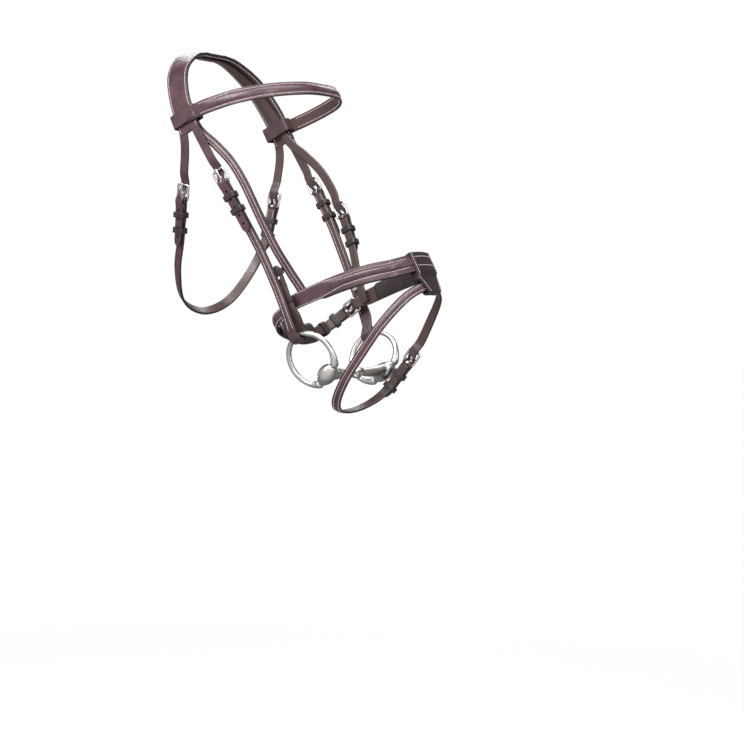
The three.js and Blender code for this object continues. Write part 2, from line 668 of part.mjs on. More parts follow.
function bit() {
  const butt = THREE.MathUtils.degToRad(RING.butt);
  const chord = RING.radius * Math.cos(THREE.MathUtils.degToRad(RING.flat));
  for (const { name, sign } of SIDES) {
    const place = ringPlace(sign);
    add(`${name}_bit_ring`, 'steel', ring(), place);
    const hub = new THREE.Vector3(chord * Math.cos(butt), chord * Math.sin(butt), 0).applyMatrix4(place);
    const barrelAxis = new THREE.Vector3(-Math.sin(butt), Math.cos(butt), 0).transformDirection(place);
    const inward = new THREE.Vector3(-sign, 0, 0);
    const z = new THREE.Vector3().crossVectors(inward, barrelAxis).normalize();
    const x = new THREE.Vector3().crossVectors(barrelAxis, z);
    const lean = Math.asin(inward.dot(barrelAxis));
    const reach = Math.abs(hub.x) * Math.cos(lean);
    const half = cannon(reach, lean, sign > 0 ? 0 : Math.PI / 2);
    const frame = new THREE.Matrix4().makeBasis(x, barrelAxis, z).setPosition(hub);
    add(`${name}_mouthpiece`, 'steel', half, frame);
  }
}

bit();

// The underside of the lowest strap at the poll is the plane z = 0.
const poll = hangerLine.at(hangerLine.length / 2).point;
bridle.position.z = -poll.z;
bridle.updateMatrixWorld(true);

export default bridle;
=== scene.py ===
"""Snaffle bridle with a flash noseband: its leather, thread and steel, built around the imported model."""

import bisect
import math

import bmesh
import bpy
from mathutils import Matrix, Vector


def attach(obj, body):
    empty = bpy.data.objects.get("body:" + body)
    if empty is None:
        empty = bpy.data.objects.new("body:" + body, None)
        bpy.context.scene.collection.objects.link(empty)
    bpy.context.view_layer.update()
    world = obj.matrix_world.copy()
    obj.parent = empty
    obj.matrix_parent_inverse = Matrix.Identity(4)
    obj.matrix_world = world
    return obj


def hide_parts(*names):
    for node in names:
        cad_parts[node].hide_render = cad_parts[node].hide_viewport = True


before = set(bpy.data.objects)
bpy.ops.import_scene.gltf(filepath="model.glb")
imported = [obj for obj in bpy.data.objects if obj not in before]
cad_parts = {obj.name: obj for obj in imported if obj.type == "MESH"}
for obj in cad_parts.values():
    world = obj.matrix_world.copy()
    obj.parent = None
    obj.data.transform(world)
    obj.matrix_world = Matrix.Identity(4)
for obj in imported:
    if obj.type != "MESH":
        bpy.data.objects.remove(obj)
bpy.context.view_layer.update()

# ---- Measures, in millimetres, as in the part's source ----
MM = 0.001
NOSE_ANGLE = math.radians(22)
STRAP = 3.0  # a sewn strap's thickness
BILLET = 2.6  # the thickness of a strap that goes through a buckle
CROWN = {"width": 30.0, "thickness": 4.0, "lift": 5.4}
NOSE_WIDTH = 22.0
CHEEK_WIDTH = 12.0
THROAT_WIDTH = 12.0
HANGER_WIDTH = 11.5
CHIN_WIDTH = 13.0
FLASH_WIDTH = 12.0
BROWBAND_WIDTH = 18.0
BUCKLE = {"reach": 18.0, "wire": 1.5, "spare": 1.5, "corner": 3.0}
EYE = {"inner": 1.8, "outer": 3.8, "gap": 5.0, "tail": 26.0, "thickness": 5.0}
TONGUE = {"wire": 1.05, "eye_inner": 1.75, "eye_outer": 2.7, "eye_width": 3.2, "height": 2.85}
TONGUE_SLOT = {"start": 0.2, "end": 10.2, "width": 4.6}
OVER = 4.6  # how far a buckled billet lies above the middle of the strap below it
BILLET_RISE = [(30, 0), (22, -3.7), (15, -3.7), (0, 6.9), (-8, 5), (-14, OVER), (-80, OVER)]
KEEPER = {"length": 7.0, "wall": 1.4, "room": 0.9, "fixed": 19.0, "runner": 38.0}
RING = {"place": (70.0, -205.6, -375.3), "radius": 32.0, "wire": 3.3, "tilt": 17.1, "flat": 35, "butt": 135}
BARREL = {"middle": 11.0, "end": 4.8, "bore": 2.7, "half": 15.2, "pin": 2.1}
LINK = {"radius": 6.5, "wire": 2.5}
FOLD = {"radius": 7.1, "forward": 1.5, "join": 14.0, "width": 17.0, "gap": 14.2, "thickness": 2.9}
RETURN = {"tip": 88.0, "drift": 7.0, "bulge": 8.0, "lift": -4.6}
BIT_KEEPERS = (("upper", 79, 6.5), ("lower", 44, 4.8))  # how far above the ring, and forward
STUD = {"at": 62.0, "spare": 73.0, "shift": 5.5, "hole": 2.2}
BROW_LOOP = {"place": (94, 7.6, -92), "half": 16.4, "low": -4.2, "high": 9.2, "wall": 2.2}

# What only the looks need.
RING_STEP = 1.2  # between a strap's cross-sections
COLUMN = 0.5  # between the corners across its outer face
ROUNDING = 1.0  # of its edges
STITCH = {"pitch": 3.0, "half": 1.36, "wire": 0.44, "sink": 0.26, "slant": 0.12}
HOLE = {"pitch": 11.0, "radius": 1.7, "first": 12.5, "before": 22.0, "margin": 8.0}


# ---- Lines of the straps ----
def on_head(left, front, up):
    """A place given along the nose's own slant, in the shared frame."""
    cos, sin = math.cos(NOSE_ANGLE), math.sin(NOSE_ANGLE)
    return Vector((left, up * sin - front * cos, front * sin + up * cos))


def hermite(values, closed, share):
    """Point and direction on the smooth curve through the values, at a share from 0 to 1."""
    count = len(values)
    last = count if closed else count - 1
    place = share * last
    index = min(int(place), last - 1)
    w = place - index

    def value(i):
        if closed:
            return values[i % count]
        if i < 0:
            return 2 * values[0] - values[1]
        if i >= count:
            return 2 * values[-1] - values[-2]
        return values[i]

    before, start, end, after = (value(index + i) for i in (-1, 0, 1, 2))
    leave, arrive = (end - before) / 2, (after - start) / 2
    square = 3 * (end - start) - 2 * leave - arrive
    cube = 2 * (start - end) + leave + arrive
    return start + leave * w + square * w**2 + cube * w**3, leave + 2 * square * w + 3 * cube * w**2


class StrapLine:
    """The line of a strap: stations of (place, direction away from the head)."""

    divisions = 200

    def __init__(self, stations, closed=False):
        self.places = [on_head(*place) for place, _ in stations]
        self.hints = [on_head(*away).normalized() for _, away in stations]
        self.closed = closed
        self.marks = [0.0]
        last = hermite(self.places, closed, 0)[0]
        for step in range(1, self.divisions + 1):
            here = hermite(self.places, closed, step / self.divisions)[0]
            self.marks.append(self.marks[-1] + (here - last).length)
            last = here
        self.length = self.marks[-1]

    def at(self, distance):
        """The point, and the ways along, out and across, at a distance along the line."""
        held = distance % self.length if self.closed else min(max(distance, 0), self.length)
        index = min(bisect.bisect_right(self.marks, held) - 1, self.divisions - 1)
        span = self.marks[index + 1] - self.marks[index]
        share = (index + (held - self.marks[index]) / span) / self.divisions
        point, along = hermite(self.places, self.closed, share)
        out = hermite(self.hints, self.closed, share)[0]
        along.normalize()
        out = (out - along * out.dot(along)).normalized()
        return point, along, out, out.cross(along)

    def frame(self, distance, direction=1):
        """A matrix with x along the line, y across it and z out of it."""
        point, along, out, _ = self.at(distance)
        x = along * direction
        return basis(x, out.cross(x), out, point)

    def near(self, *place):
        """The whole distance whose point is nearest to a place on the head."""
        target = on_head(*place)
        stops = range(int(self.length) + 1)
        return min(stops, key=lambda stop: (self.at(stop)[0] - target).length)


def basis(x, y, z, origin):
    matrix = Matrix((x, y, z)).transposed().to_4x4()
    matrix.translation = origin
    return matrix


def mirrored(stations):
    """The same stations on the other side of the head."""
    return [((-p[0], p[1], p[2]), (-a[0], a[1], a[2])) for p, a in stations]


def across_head(stations):
    """From the off side's last station to the near side's last."""
    other = mirrored(stations)[::-1]
    return other + (stations[1:] if stations[0][0][0] == 0 else stations)


def round_head(stations):
    """All the way round; the stations run from the front to the back on the near side."""
    return stations + mirrored(stations)[1:-1][::-1]


ROW_UP = (0, math.sin(NOSE_ANGLE), math.cos(NOSE_ANGLE))
POLL = [
    ((12, 0, 0), ROW_UP),
    ((22, 0, 0), ROW_UP),
    ((45, 1, -7), (0.35, 0.33, 0.87)),
    ((75, 3, -32), (0.8, 0.15, 0.6)),
    ((92, 6, -70), (0.98, 0, 0.15)),
    ((96, 9, -112), (1, 0, 0.03)),
]
HANGER = POLL[:4] + [
    ((91, 9, -70), (0.98, 0, 0.15)),
    ((94, 18, -112), (1, 0, 0.02)),
    ((95, 34, -140), (1, 0, 0)),
    ((96, 48, -168), (1, 0, 0)),
    ((96, 56, -200), (1, 0, 0)),
    ((94, 60, -240), (1, 0.05, -0.05)),
    ((86.4, 62, -284), (1, 0.05, -0.15)),
    ((73.8, 63.5, -318), (0.95, 0.1, -0.3)),
    ((66.9, 65.5, -338), (0.97, 0.15, -0.25)),
    ((64.8, 66, -348), (1, 0.18, 0)),
    ((64.8, 66, -358), (1, 0.18, 0)),
]
CHEEK = [
    ((101.4, 15.5, -96), (1, 0, 0.02)),
    ((101.6, 20, -125), (1, 0, 0)),
    ((101, 26.5, -162), (1, 0, -0.02)),
    ((99.5, 33, -200), (1, 0, -0.06)),
    ((95.5, 38.5, -240), (1, 0, -0.1)),
    ((90.5, 43, -281), (1, 0, -0.1)),
    ((87.5, 45.5, -320), (1, 0, -0.05)),
    ((86, 46.5, -353), (1, 0, -0.02)),
    ((85.6, 46, -394.3), (1, -0.12, 0)),
]
THROAT = [
    ((0, -126, -292), (0, -1, -0.4)),
    ((48, -117, -281), (0.45, -0.9, -0.3)),
    ((77, -90, -252), (0.85, -0.5, -0.2)),
    ((89, -62, -221), (1, -0.2, 0)),
    ((94.5, -42, -189), (1, -0.1, 0)),
    ((98.5, -22, -155), (1, 0, 0)),
    ((101, -6, -125), (1, 0, 0)),
    ((101.4, 1, -98), (1, 0, 0.02)),
]
BROW = [
    ((0, 148, -112), (0, 1, 0.2)),
    ((36, 142, -110), (0.3, 1, 0.15)),
    ((72, 118, -105), (0.75, 0.66, 0.1)),
    ((94, 84, -99), (0.93, 0.4, 0.05)),
    ((103, 50, -95), (1, 0.12, 0)),
    ((104.6, 27, -93), (1, 0, 0)),
    ((104.6, 10, -92), (1, 0, 0)),
]
NOSE = [
    ((0, 197, -360.5), (0, 1, 0.1)),
    ((24, 193.5, -361), (0.3, 1, 0.1)),
    ((45, 179, -361.5), (0.72, 0.7, 0.08)),
    ((58, 150, -357), (0.94, 0.35, 0.05)),
    ((66, 110, -354), (0.98, 0.18, 0)),
    ((71, 61, -353), (1, 0.05, 0)),
    ((71.5, 38, -356), (1, -0.1, 0)),
    ((67, 18, -361.5), (0.9, -0.4, -0.05)),
    ((48, 4, -370), (0.4, -0.92, -0.1)),
    ((0, -4, -376), (0, -1, -0.1)),
]
FLASH = [
    ((0, 196, -390.5), (0, 1, 0.1)),
    ((18, 194.2, -391.5), (0.2, 1, 0.1)),
    ((40, 180, -400), (0.68, 0.73, 0.1)),
    ((55, 150, -418), (0.93, 0.35, 0.1)),
    ((62, 117, -440), (1, 0.1, 0)),
    ((60, 81, -461), (1, -0.05, -0.1)),
    ((50, 54, -477), (0.85, -0.3, -0.5)),
    ((28, 36, -485), (0.4, -0.5, -0.8)),
    ((0, 29, -487), (0, -0.55, -0.85)),
]

poll_line = StrapLine(across_head(POLL))
hanger_line = StrapLine(across_head(HANGER))
throat_line = StrapLine(across_head(THROAT))
brow_line = StrapLine(across_head(BROW))
nose_line = StrapLine(round_head(NOSE), closed=True)
flash_line = StrapLine(round_head(FLASH), closed=True)
SIDES = [("left", 1, StrapLine(CHEEK)), ("right", -1, StrapLine(mirrored(CHEEK)))]

CHEEK_BAR = SIDES[0][2].near(100, 31, -190)
THROAT_BAR = throat_line.near(-95.5, -37, -181)
HANGER_BAR = hanger_line.near(94, 60, -237)
CHEEK_CROSSING = nose_line.near(71, 61, -353)
CHIN_BAR = nose_line.near(71.2, 33, -357)
NOSE_END = CHEEK_CROSSING + 26
FLASH_BAR = flash_line.near(61.5, 98, -451)
FLASH_TURN = flash_line.length + FLASH_BAR
CHEEK_TIP, THROAT_TIP, HANGER_TIP, CHIN_TIP, FLASH_TIP = 68, 58, 50, 52, 52


# ---- Measures along a strap ----
def circle(count):
    """Cosine and sine of even turns."""
    return [(math.cos(turn), math.sin(turn)) for turn in (2 * math.pi * k / count for k in range(count))]


def rounded(gap, reach):
    """From 0 at an edge to 1 at its reach, along a quarter circle."""
    return math.sqrt(max(1 - (1 - min(gap / reach, 1)) ** 2, 0))


def smooth(share):
    """From 0 to 1, level at both ends."""
    share = min(max(share, 0), 1)
    return share * share * (3 - 2 * share)


def dent(gap, reach):
    """How deep a groove is, from 0 to 1, at a gap from its middle."""
    return math.exp(-((gap / reach) ** 2))


def rounded_box(low, high, radius, steps):
    """Places and outward directions round a box with rounded corners, and whether each ends a corner."""
    x0, x1, y0, y1 = low[0] + radius, high[0] - radius, low[1] + radius, high[1] - radius
    for x, y, start in ((x1, y1, 0), (x0, y1, 90), (x0, y0, 180), (x1, y0, 270)):
        for step in range(steps + 1):
            turn = math.radians(start + 90 * step / steps)
            cos, sin = math.cos(turn), math.sin(turn)
            yield (x + radius * cos, y + radius * sin), (cos, sin), step == steps


def measure(value, distance):
    """A measure that is one number, or changes evenly between stops of (distance, value)."""
    if not isinstance(value, (list, tuple)):
        return value
    if distance <= value[0][0]:
        return value[0][1]
    for (d0, v0), (d1, v1) in zip(value, value[1:]):
        if distance <= d1:
            return v0 + (v1 - v0) * (distance - d0) / max(d1 - d0, 1e-6)
    return value[-1][1]


def eased(value, distance, reach=3.5):
    """The same measure with its bends rounded off."""
    if not isinstance(value, (list, tuple)):
        return value
    steps = (-1, -0.5, 0, 0.5, 1)
    return sum(measure(value, distance + step * reach) for step in steps) / len(steps)


def billet_lift(bar, direction):
    """How a billet rises over its buckle."""
    return sorted((bar + direction * x, lift) for x, lift in BILLET_RISE)


# ---- Shells: (corners in mm, faces, finish of each corner) ----
def skin(rings, finishes=None, closed=False):
    """Rings of corners joined by faces; finishes holds one value for each corner of a ring."""
    size = len(rings[0])
    corners = [corner for ring in rings for corner in ring]
    faces = []
    for index in range(len(rings) if closed else len(rings) - 1):
        here, there = index * size, (index + 1) % len(rings) * size
        for side in range(size):
            after = (side + 1) % size
            faces.append((here + side, here + after, there + after, there + side))
    if not closed:
        faces.append(tuple(range(size))[::-1])
        faces.append(tuple(range(len(corners) - size, len(corners))))
    return corners, faces, list(finishes or [0.0] * size) * len(rings)


def moved(shell, matrix):
    return [matrix @ corner for corner in shell[0]], shell[1], shell[2]


def lathe(outline, sides=32, closed=False):
    """A turned shape about the local y axis from (radius, y) stops; closed for a tube's own outline."""
    turns = circle(sides)
    rings = [[Vector((radius * cos, y, -radius * sin)) for radius, y in outline] for cos, sin in turns]
    if closed:
        return skin(rings, closed=True)
    corners = [corner for ring in rings for corner in ring[1:-1]]
    size = len(outline) - 2
    low, high = len(corners), len(corners) + 1
    corners += [rings[0][0], rings[0][-1]]
    faces = []
    for side in range(sides):
        here, there = side * size, (side + 1) % sides * size
        faces.append((low, there, here))
        faces.append((high, here + size - 1, there + size - 1))
        for k in range(size - 1):
            faces.append((here + k, there + k, there + k + 1, here + k + 1))
    return corners, faces, [0.0] * len(corners)


def pin_shell(radius, half, sides):
    """A plain round pin about the local y axis."""
    return lathe([(0, -half), (radius, -half), (radius, half), (0, half)], sides)


def upright(y, z):
    """Turns a lathed shape's axis to the local z axis and moves it."""
    return Matrix.Translation((0, y, z)) @ Matrix.Rotation(math.pi / 2, 4, "X")


def mesh_object(name, shells, material):
    """One smooth object in metres from several shells."""
    corners, faces, finishes = [], [], []
    for shell_corners, shell_faces, shell_finishes in shells:
        start = len(corners)
        corners += [corner * MM for corner in shell_corners]
        faces += [tuple(start + i for i in face) for face in shell_faces]
        finishes += shell_finishes
    mesh = bpy.data.meshes.new(name)
    mesh.from_pydata(corners, [], faces)
    mesh.attributes.new("finish", "FLOAT", "POINT").data.foreach_set("value", finishes)
    mesh.materials.append(material)
    piece = bpy.data.objects.new(name, mesh)
    bpy.context.collection.objects.link(piece)
    return settled(piece)


def settled(piece, angle=38):
    """The piece with its faces turned outward and shaded smooth, but for edges sharper than the angle."""
    mesh = piece.data
    mesh.validate()
    work = bmesh.new()
    work.from_mesh(mesh)
    bmesh.ops.recalc_face_normals(work, faces=work.faces)
    work.to_mesh(mesh)
    work.free()
    mesh.shade_smooth()
    mesh.set_sharp_from_angle(angle=math.radians(angle))
    return piece


def baked(piece):
    """The piece with its modifiers applied."""
    graph = bpy.context.evaluated_depsgraph_get()
    mesh = bpy.data.meshes.new_from_object(piece.evaluated_get(graph))
    piece.modifiers.clear()
    piece.data = mesh
    return piece


def pierced(piece, shells):
    """The piece with the shells cut out of it."""
    for shell in shells:
        tool = mesh_object("tool", [shell], piece.data.materials[0])
        cut = piece.modifiers.new("cut", "BOOLEAN")
        cut.object = tool
        cut.operation = "DIFFERENCE"
        cut.solver = "EXACT"
        baked(piece)
        bpy.data.objects.remove(tool)
    return settled(piece)


def merged(name, pieces):
    """Several objects of one material as one object."""
    first = pieces[0]
    with bpy.context.temp_override(
        active_object=first, object=first, selected_objects=pieces, selected_editable_objects=pieces
    ):
        bpy.ops.object.join()
    first.name = name
    first.data.name = name
    return first


def placed(piece, body, slot, *nodes):
    """The piece rides on a body and stands for its CAD nodes, which are hidden; the slot is not used."""
    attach(piece, body)
    if nodes:
        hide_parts(*nodes)
    return piece


# ---- Materials ----
class Nodes:
    """The nodes of a material or a world, and what is often made of them."""

    def __init__(self, tree):
        self.nodes, self.links = tree.nodes, tree.links

    def add(self, kind, values=(), **links):
        """A node; values is (input, number) pairs, and links goes from inputs to the sockets they take."""
        node = self.nodes.new("ShaderNode" + kind)
        for key, value in values:
            node.inputs[key].default_value = value
        for key, socket in links.items():
            self.links.new(socket, node.inputs[key])
        return node

    def place(self, kind="Object"):
        return self.add("TexCoord").outputs[kind]

    def noise(self, scale, detail=4.0):
        """Noise over the object's own coordinates, in metres."""
        node = self.add("TexNoise", [("Scale", scale), ("Detail", detail)], Vector=self.place())
        return node.outputs["Fac"]

    def spread(self, value, low, high, start=0.35, end=0.65):
        """A value from start to end as a number from low to high."""
        ends = [("From Min", start), ("From Max", end), ("To Min", low), ("To Max", high)]
        return self.add("MapRange", ends, Value=value).outputs["Result"]

    def measured(self, operation, vector, other=(0, 0, 0)):
        """A number from a vector, such as its length or its dot product with another."""
        node = self.add("VectorMath", Vector=vector)
        node.operation = operation
        node.inputs[1].default_value = other
        return node.outputs["Value"]

    def blended(self, factor, first, second):
        """Two colours, or a colour's socket and a colour, mixed by a factor."""
        mix = self.nodes.new("ShaderNodeMix")
        mix.data_type = "RGBA"
        self.links.new(factor, mix.inputs[0])
        for socket, colour in ((mix.inputs[6], first), (mix.inputs[7], second)):
            if isinstance(colour, tuple):
                socket.default_value = (*colour, 1)
            else:
                self.links.new(colour, socket)
        return mix.outputs[2]


class Shader(Nodes):
    """A new material with a principled shader."""

    def __init__(self, name, **values):
        self.material = bpy.data.materials.new(name)
        self.material.use_nodes = True
        super().__init__(self.material.node_tree)
        self.surface = self.nodes["Principled BSDF"].inputs
        for key, value in values.items():
            self.surface[key.replace("_", " ")].default_value = value

    def feed(self, key, socket):
        self.links.new(socket, self.surface[key])

    def bumped(self, heights):
        """Bumps stacked on the surface: (height socket, strength, distance in mm)."""
        normal = None
        for height, strength, distance in heights:
            bump = self.add("Bump", [("Strength", strength), ("Distance", distance * MM)], Height=height)
            if normal:
                self.links.new(normal, bump.inputs["Normal"])
            normal = bump.outputs["Normal"]
        self.feed("Normal", normal)


def leather(name, dark, warm, edge, flesh, gloss):
    """Dyed leather: mottled, with a fine grain, painted edges and a duller underside."""
    shader = Shader(name, Specular_IOR_Level=0.55, Coat_Weight=0.25, Coat_Roughness=0.2)
    attribute = shader.add("Attribute")
    attribute.attribute_name = "finish"
    finish = attribute.outputs["Fac"]
    colour = shader.blended(shader.spread(shader.noise(55.0), 0, 1), dark, warm)
    colour = shader.blended(shader.spread(shader.noise(700.0), 0, 0.35), colour, dark)
    colour = shader.blended(shader.spread(finish, 0, 1, 0.2, 0.5), colour, flesh)
    colour = shader.blended(shader.spread(finish, 0, 1, 0.6, 0.95), colour, edge)
    shader.feed("Base Color", colour)
    shader.feed("Roughness", shader.spread(shader.noise(160.0), gloss - 0.06, gloss + 0.1))
    cells = shader.add("TexVoronoi", [("Scale", 1500.0)], Vector=shader.place())
    folds = shader.noise(260.0, 6.0)
    shader.bumped([(cells.outputs["Distance"], 0.35, 0.12), (folds, 0.5, 0.35)])
    return shader.material


def steel(name, colour, rough, wear):
    """Stainless steel; wear is how much the gloss changes over it."""
    shader = Shader(name, Metallic=1.0)
    darker = tuple(0.8 * part for part in colour)
    shader.feed("Base Color", shader.blended(shader.spread(shader.noise(120.0), 0, 1), colour, darker))
    shader.feed("Roughness", shader.spread(shader.noise(240.0, 8.0), rough, rough + wear))
    shader.bumped([(shader.noise(90.0, 2.0), 0.05, 0.3)])
    return shader.material


def thread_material(light, dark):
    """Waxed pale thread."""
    shader = Shader("waxed_thread", Roughness=0.55)
    shader.feed("Base Color", shader.blended(shader.spread(shader.noise(300.0), 0, 1), light, dark))
    shader.bumped([(shader.noise(2600.0), 0.5, 0.12)])
    return shader.material


LEATHER = leather(
    "bridle_leather",
    dark=(0.038, 0.0155, 0.021),
    warm=(0.079, 0.031, 0.04),
    edge=(0.013, 0.007, 0.008),
    flesh=(0.06, 0.033, 0.03),
    gloss=0.36,
)
# The bridle leather made darker to paint shade: painted shade on the flash loop and on every keeper
PAINTED_SHADE_LEATHER = leather(
    "painted_shade_leather",
    dark=(0.015, 0.009, 0.01),
    warm=(0.027, 0.0135, 0.015),
    edge=(0.01, 0.006, 0.007),
    flesh=(0.05, 0.028, 0.026),
    gloss=0.42,
)
PAD_LEATHER = leather(
    "pad_leather",
    dark=(0.014, 0.008, 0.009),
    warm=(0.026, 0.014, 0.015),
    edge=(0.01, 0.006, 0.007),
    flesh=(0.02, 0.012, 0.012),
    gloss=0.46,
)
BUCKLE_STEEL = steel("buckle_steel", (0.76, 0.75, 0.73), rough=0.16, wear=0.08)
BIT_STEEL = steel("bit_steel", (0.82, 0.8, 0.775), rough=0.22, wear=0.08)
THREAD = thread_material(light=(0.62, 0.5, 0.51), dark=(0.46, 0.36, 0.37))


# ---- Straps ----
class Face:
    """The outer face of a strap: a raised core between rows of stitches, and creases by the edges."""

    row_gap = 0.75
    least_margin = 1.4
    row_groove = {"reach": 0.45, "depth": 0.22}
    crease_groove = {"reach": 0.28, "depth": 0.16}

    def __init__(self, core=None, rise=0.0, shift=0.0, margin=None, crease=1.2):
        self.core, self.rise, self.shift = core, rise, shift
        self.margin, self.crease = margin, crease

    def rows(self, distance, half):
        """Where the two rows of stitches run across the face."""
        if self.core is None and self.margin is None:
            return []
        room = half - self.least_margin
        if self.core is None:
            return [-half + self.margin, half - self.margin]
        middle = eased(self.shift, distance)
        reach = eased(self.core, distance) + self.row_gap
        return [max(middle - reach, -room), min(middle + reach, room)]

    def height(self, y, distance, half):
        total = 0.0
        if self.core is not None:
            reach = eased(self.core, distance)
            share = abs(y - eased(self.shift, distance)) / reach
            if share < 1:
                total += eased(self.rise, distance) * (1 - share**2.6)
        for row in self.rows(distance, half):
            total -= self.row_groove["depth"] * dent(y - row, self.row_groove["reach"])
        if self.crease:
            gap = half - abs(y) - self.crease
            total -= self.crease_groove["depth"] * dent(gap, self.crease_groove["reach"])
        return total


PLAIN = Face()
EDGE, FACE, UNDERSIDE = 1.0, 0.0, 0.5  # the finish of a corner


def section(place, out, across, half, thickness, columns, height=lambda y: 0):
    """Corners of one cross-section with rounded edges, height(y) on its outer face, and their finish."""
    reach = min(ROUNDING, thickness / 2 - 0.05, half / 2)
    flat = half - reach
    level = thickness / 2 - reach
    outline = []
    for angle in (90, 60, 30):
        turn = math.radians(angle)
        outline.append((-flat - reach * math.sin(turn), level + reach * math.cos(turn), EDGE))
    for column in range(columns + 1):
        y = -flat + 2 * flat * column / columns
        outline.append((y, thickness / 2 + height(y), FACE))
    outline += [(-y, z, mark) for y, z, mark in outline[2::-1]]
    under = [(y, -z, mark) for y, z, mark in outline[-1:-4:-1]]
    count = 6
    for column in range(count + 1):
        under.append((flat - 2 * flat * column / count, -thickness / 2, UNDERSIDE))
    under += [(-y, z, mark) for y, z, mark in under[2::-1]]
    corners = [place + across * y + out * z for y, z, _ in outline + under]
    return corners, [mark for _, _, mark in outline + under]


def end_shape(gap, width, pointed):
    """Shares of the width and of the thickness at a distance from a strap's end."""
    length = 0.75 * width if pointed else 1.3
    wide = rounded(gap, length)
    if not pointed:
        wide = 1 - (1 - wide) * 2 * length / width
    return max(wide, 0.12), 0.5 + 0.5 * rounded(gap, 0.8)


def section_places(start, end):
    """Distances of the cross-sections, crowded at both ends."""
    count = max(2, math.ceil((end - start) / RING_STEP))
    places = {start + (end - start) * k / count for k in range(1, count)}
    for gap in (0.05, 0.2, 0.5, 0.9, 1.5):
        places |= {start + gap, end - gap}
    return sorted(places)


class Strap:
    """A strap on a line: its measures, its outer face, and whether its ends are pointed."""

    def __init__(self, line, start, end, width, thickness, lift=0, face=PLAIN, points=(False, False)):
        self.line, self.start, self.end = line, start, end
        self.width, self.thickness, self.lift = width, thickness, lift
        self.face, self.points = face, points

    def caps(self, distance, width):
        """The ends' shares of the width and of the thickness."""
        gaps = (distance - self.start, self.end - distance)
        shapes = [end_shape(gap, width, point) for gap, point in zip(gaps, self.points)]
        return [min(shares) for shares in zip(*shapes)]

    def half(self, distance):
        """Half the width, less where an end is rounded or pointed."""
        width = eased(self.width, distance)
        return width / 2 * self.caps(distance, width)[0]

    def ring(self, distance, columns):
        place, _, out, across = self.line.at(distance)
        half = self.half(distance)
        place = place + out * eased(self.lift, distance)
        thickness = eased(self.thickness, distance) * self.caps(distance, half)[1]
        return section(
            place, out, across, half, thickness, columns, lambda y: self.face.height(y, distance, half)
        )

    def shell(self):
        widest = max(eased(self.width, d) for d in (self.start, (self.start + self.end) / 2, self.end))
        columns = round(widest / COLUMN)
        rings = [self.ring(distance, columns) for distance in section_places(self.start, self.end)]
        return skin([corners for corners, _ in rings], rings[0][1])

    def spot(self, distance, y, side=1):
        """A place on the outer face (side 1) or the underside (-1), and the way out of it."""
        place, _, out, across = self.line.at(distance)
        deep = eased(self.thickness, distance) / 2
        height = self.face.height(y, distance, self.half(distance)) if side > 0 else 0
        lift = eased(self.lift, distance) + side * (deep + height)
        return place + across * y + out * lift, out * side

    def stitches(self, spans=None, both=True):
        """Stitches along the face's rows, over the given spans of the strap."""
        shells = []
        for start, end in spans or [(self.start + 3, self.end - 3)]:
            count = max(1, round((end - start) / STITCH["pitch"]))
            for index in range(count):
                distance = start + (end - start) * (index + 0.5) / count
                for row in (0, 1):
                    for side in (1, -1) if both else (1,):
                        shells.append(self.stitch(distance, row, side))
        return shells

    def stitch(self, distance, row, side):
        """One stitch, lying along the row between two places close to its middle."""
        ends = (distance - 0.6, distance + 0.6)
        before, after = (self.spot(d, self.face.rows(d, self.half(d))[row], side) for d in ends)
        return stitch_shell((before[0] + after[0]) / 2, (after[0] - before[0]).normalized(), after[1])


def stitch_shell(centre, along, out):
    """One stitch of thread lying on a face."""
    out = (out - along * out.dot(along)).normalized()
    across = out.cross(along)
    along = (along + across * STITCH["slant"]).normalized()
    across = out.cross(along)
    centre = centre + out * (STITCH["wire"] - STITCH["sink"])
    wire = STITCH["wire"]
    rings = []
    for share, size in ((-1, 0.35), (-0.75, 0.85), (0, 1), (0.75, 0.85), (1, 0.35)):
        sink = -0.25 * share**2
        middle = centre + along * (share * STITCH["half"]) + out * sink
        rings.append([middle + (across * cos + out * sin) * (wire * size) for cos, sin in circle(6)])
    return skin(rings)


def holes(line, bar, direction, places):
    """Punches for a billet's holes, at distances from the buckle's bar along the strap."""
    punch = moved(pin_shell(HOLE["radius"], 5, 20), upright(0, OVER))
    return [moved(punch, line.frame(bar + direction * x, direction)) for x in places]


def tongue_slot(line, bar, direction):
    """The punch for the long hole that a buckle's tongue comes through, with round ends."""
    half = TONGUE_SLOT["width"] / 2
    outline = []
    for centre, start in ((TONGUE_SLOT["start"] + half, 90), (TONGUE_SLOT["end"] - half, 270)):
        for step in range(9):
            angle = math.radians(start + 22.5 * step)
            outline.append((centre + half * math.cos(angle), half * math.sin(angle)))
    rings = [[Vector((x, y, z)) for x, y in outline] for z in (-9, 14)]
    return moved(skin(rings), line.frame(bar, direction))


def billet_tools(line, bar, direction, tip):
    """A billet's slot for the tongue, its holes from beyond the buckle to the tip, and one before it."""
    beyond = (HOLE["first"] + HOLE["pitch"] * k for k in range(9))
    places = [-place for place in beyond if place < tip - HOLE["margin"]] + [HOLE["before"]]
    return [tongue_slot(line, bar, direction)] + holes(line, bar, direction, places)


def collar(inner, outer, low, high, inner_edge, outer_edge):
    """A turned collar with its edges cut off."""
    reach, far = inner + inner_edge, outer - outer_edge
    profile = [
        (inner, low + inner_edge), (reach, low), (far, low), (outer, low + outer_edge),
        (outer, high - outer_edge), (far, high), (reach, high), (inner, high - inner_edge),
    ]
    return lathe(profile, 28, closed=True)


def eye_shells(line, bar, direction, width):
    """The strap's end round the buckle's bar, open in the middle for the tongue."""
    ends = ((-width / 2, -EYE["gap"] / 2), (EYE["gap"] / 2, width / 2))
    eyes = [collar(EYE["inner"], EYE["outer"], low, high, 0.3, 0.7) for low, high in ends]
    return [moved(eye, line.frame(bar, direction)) for eye in eyes]


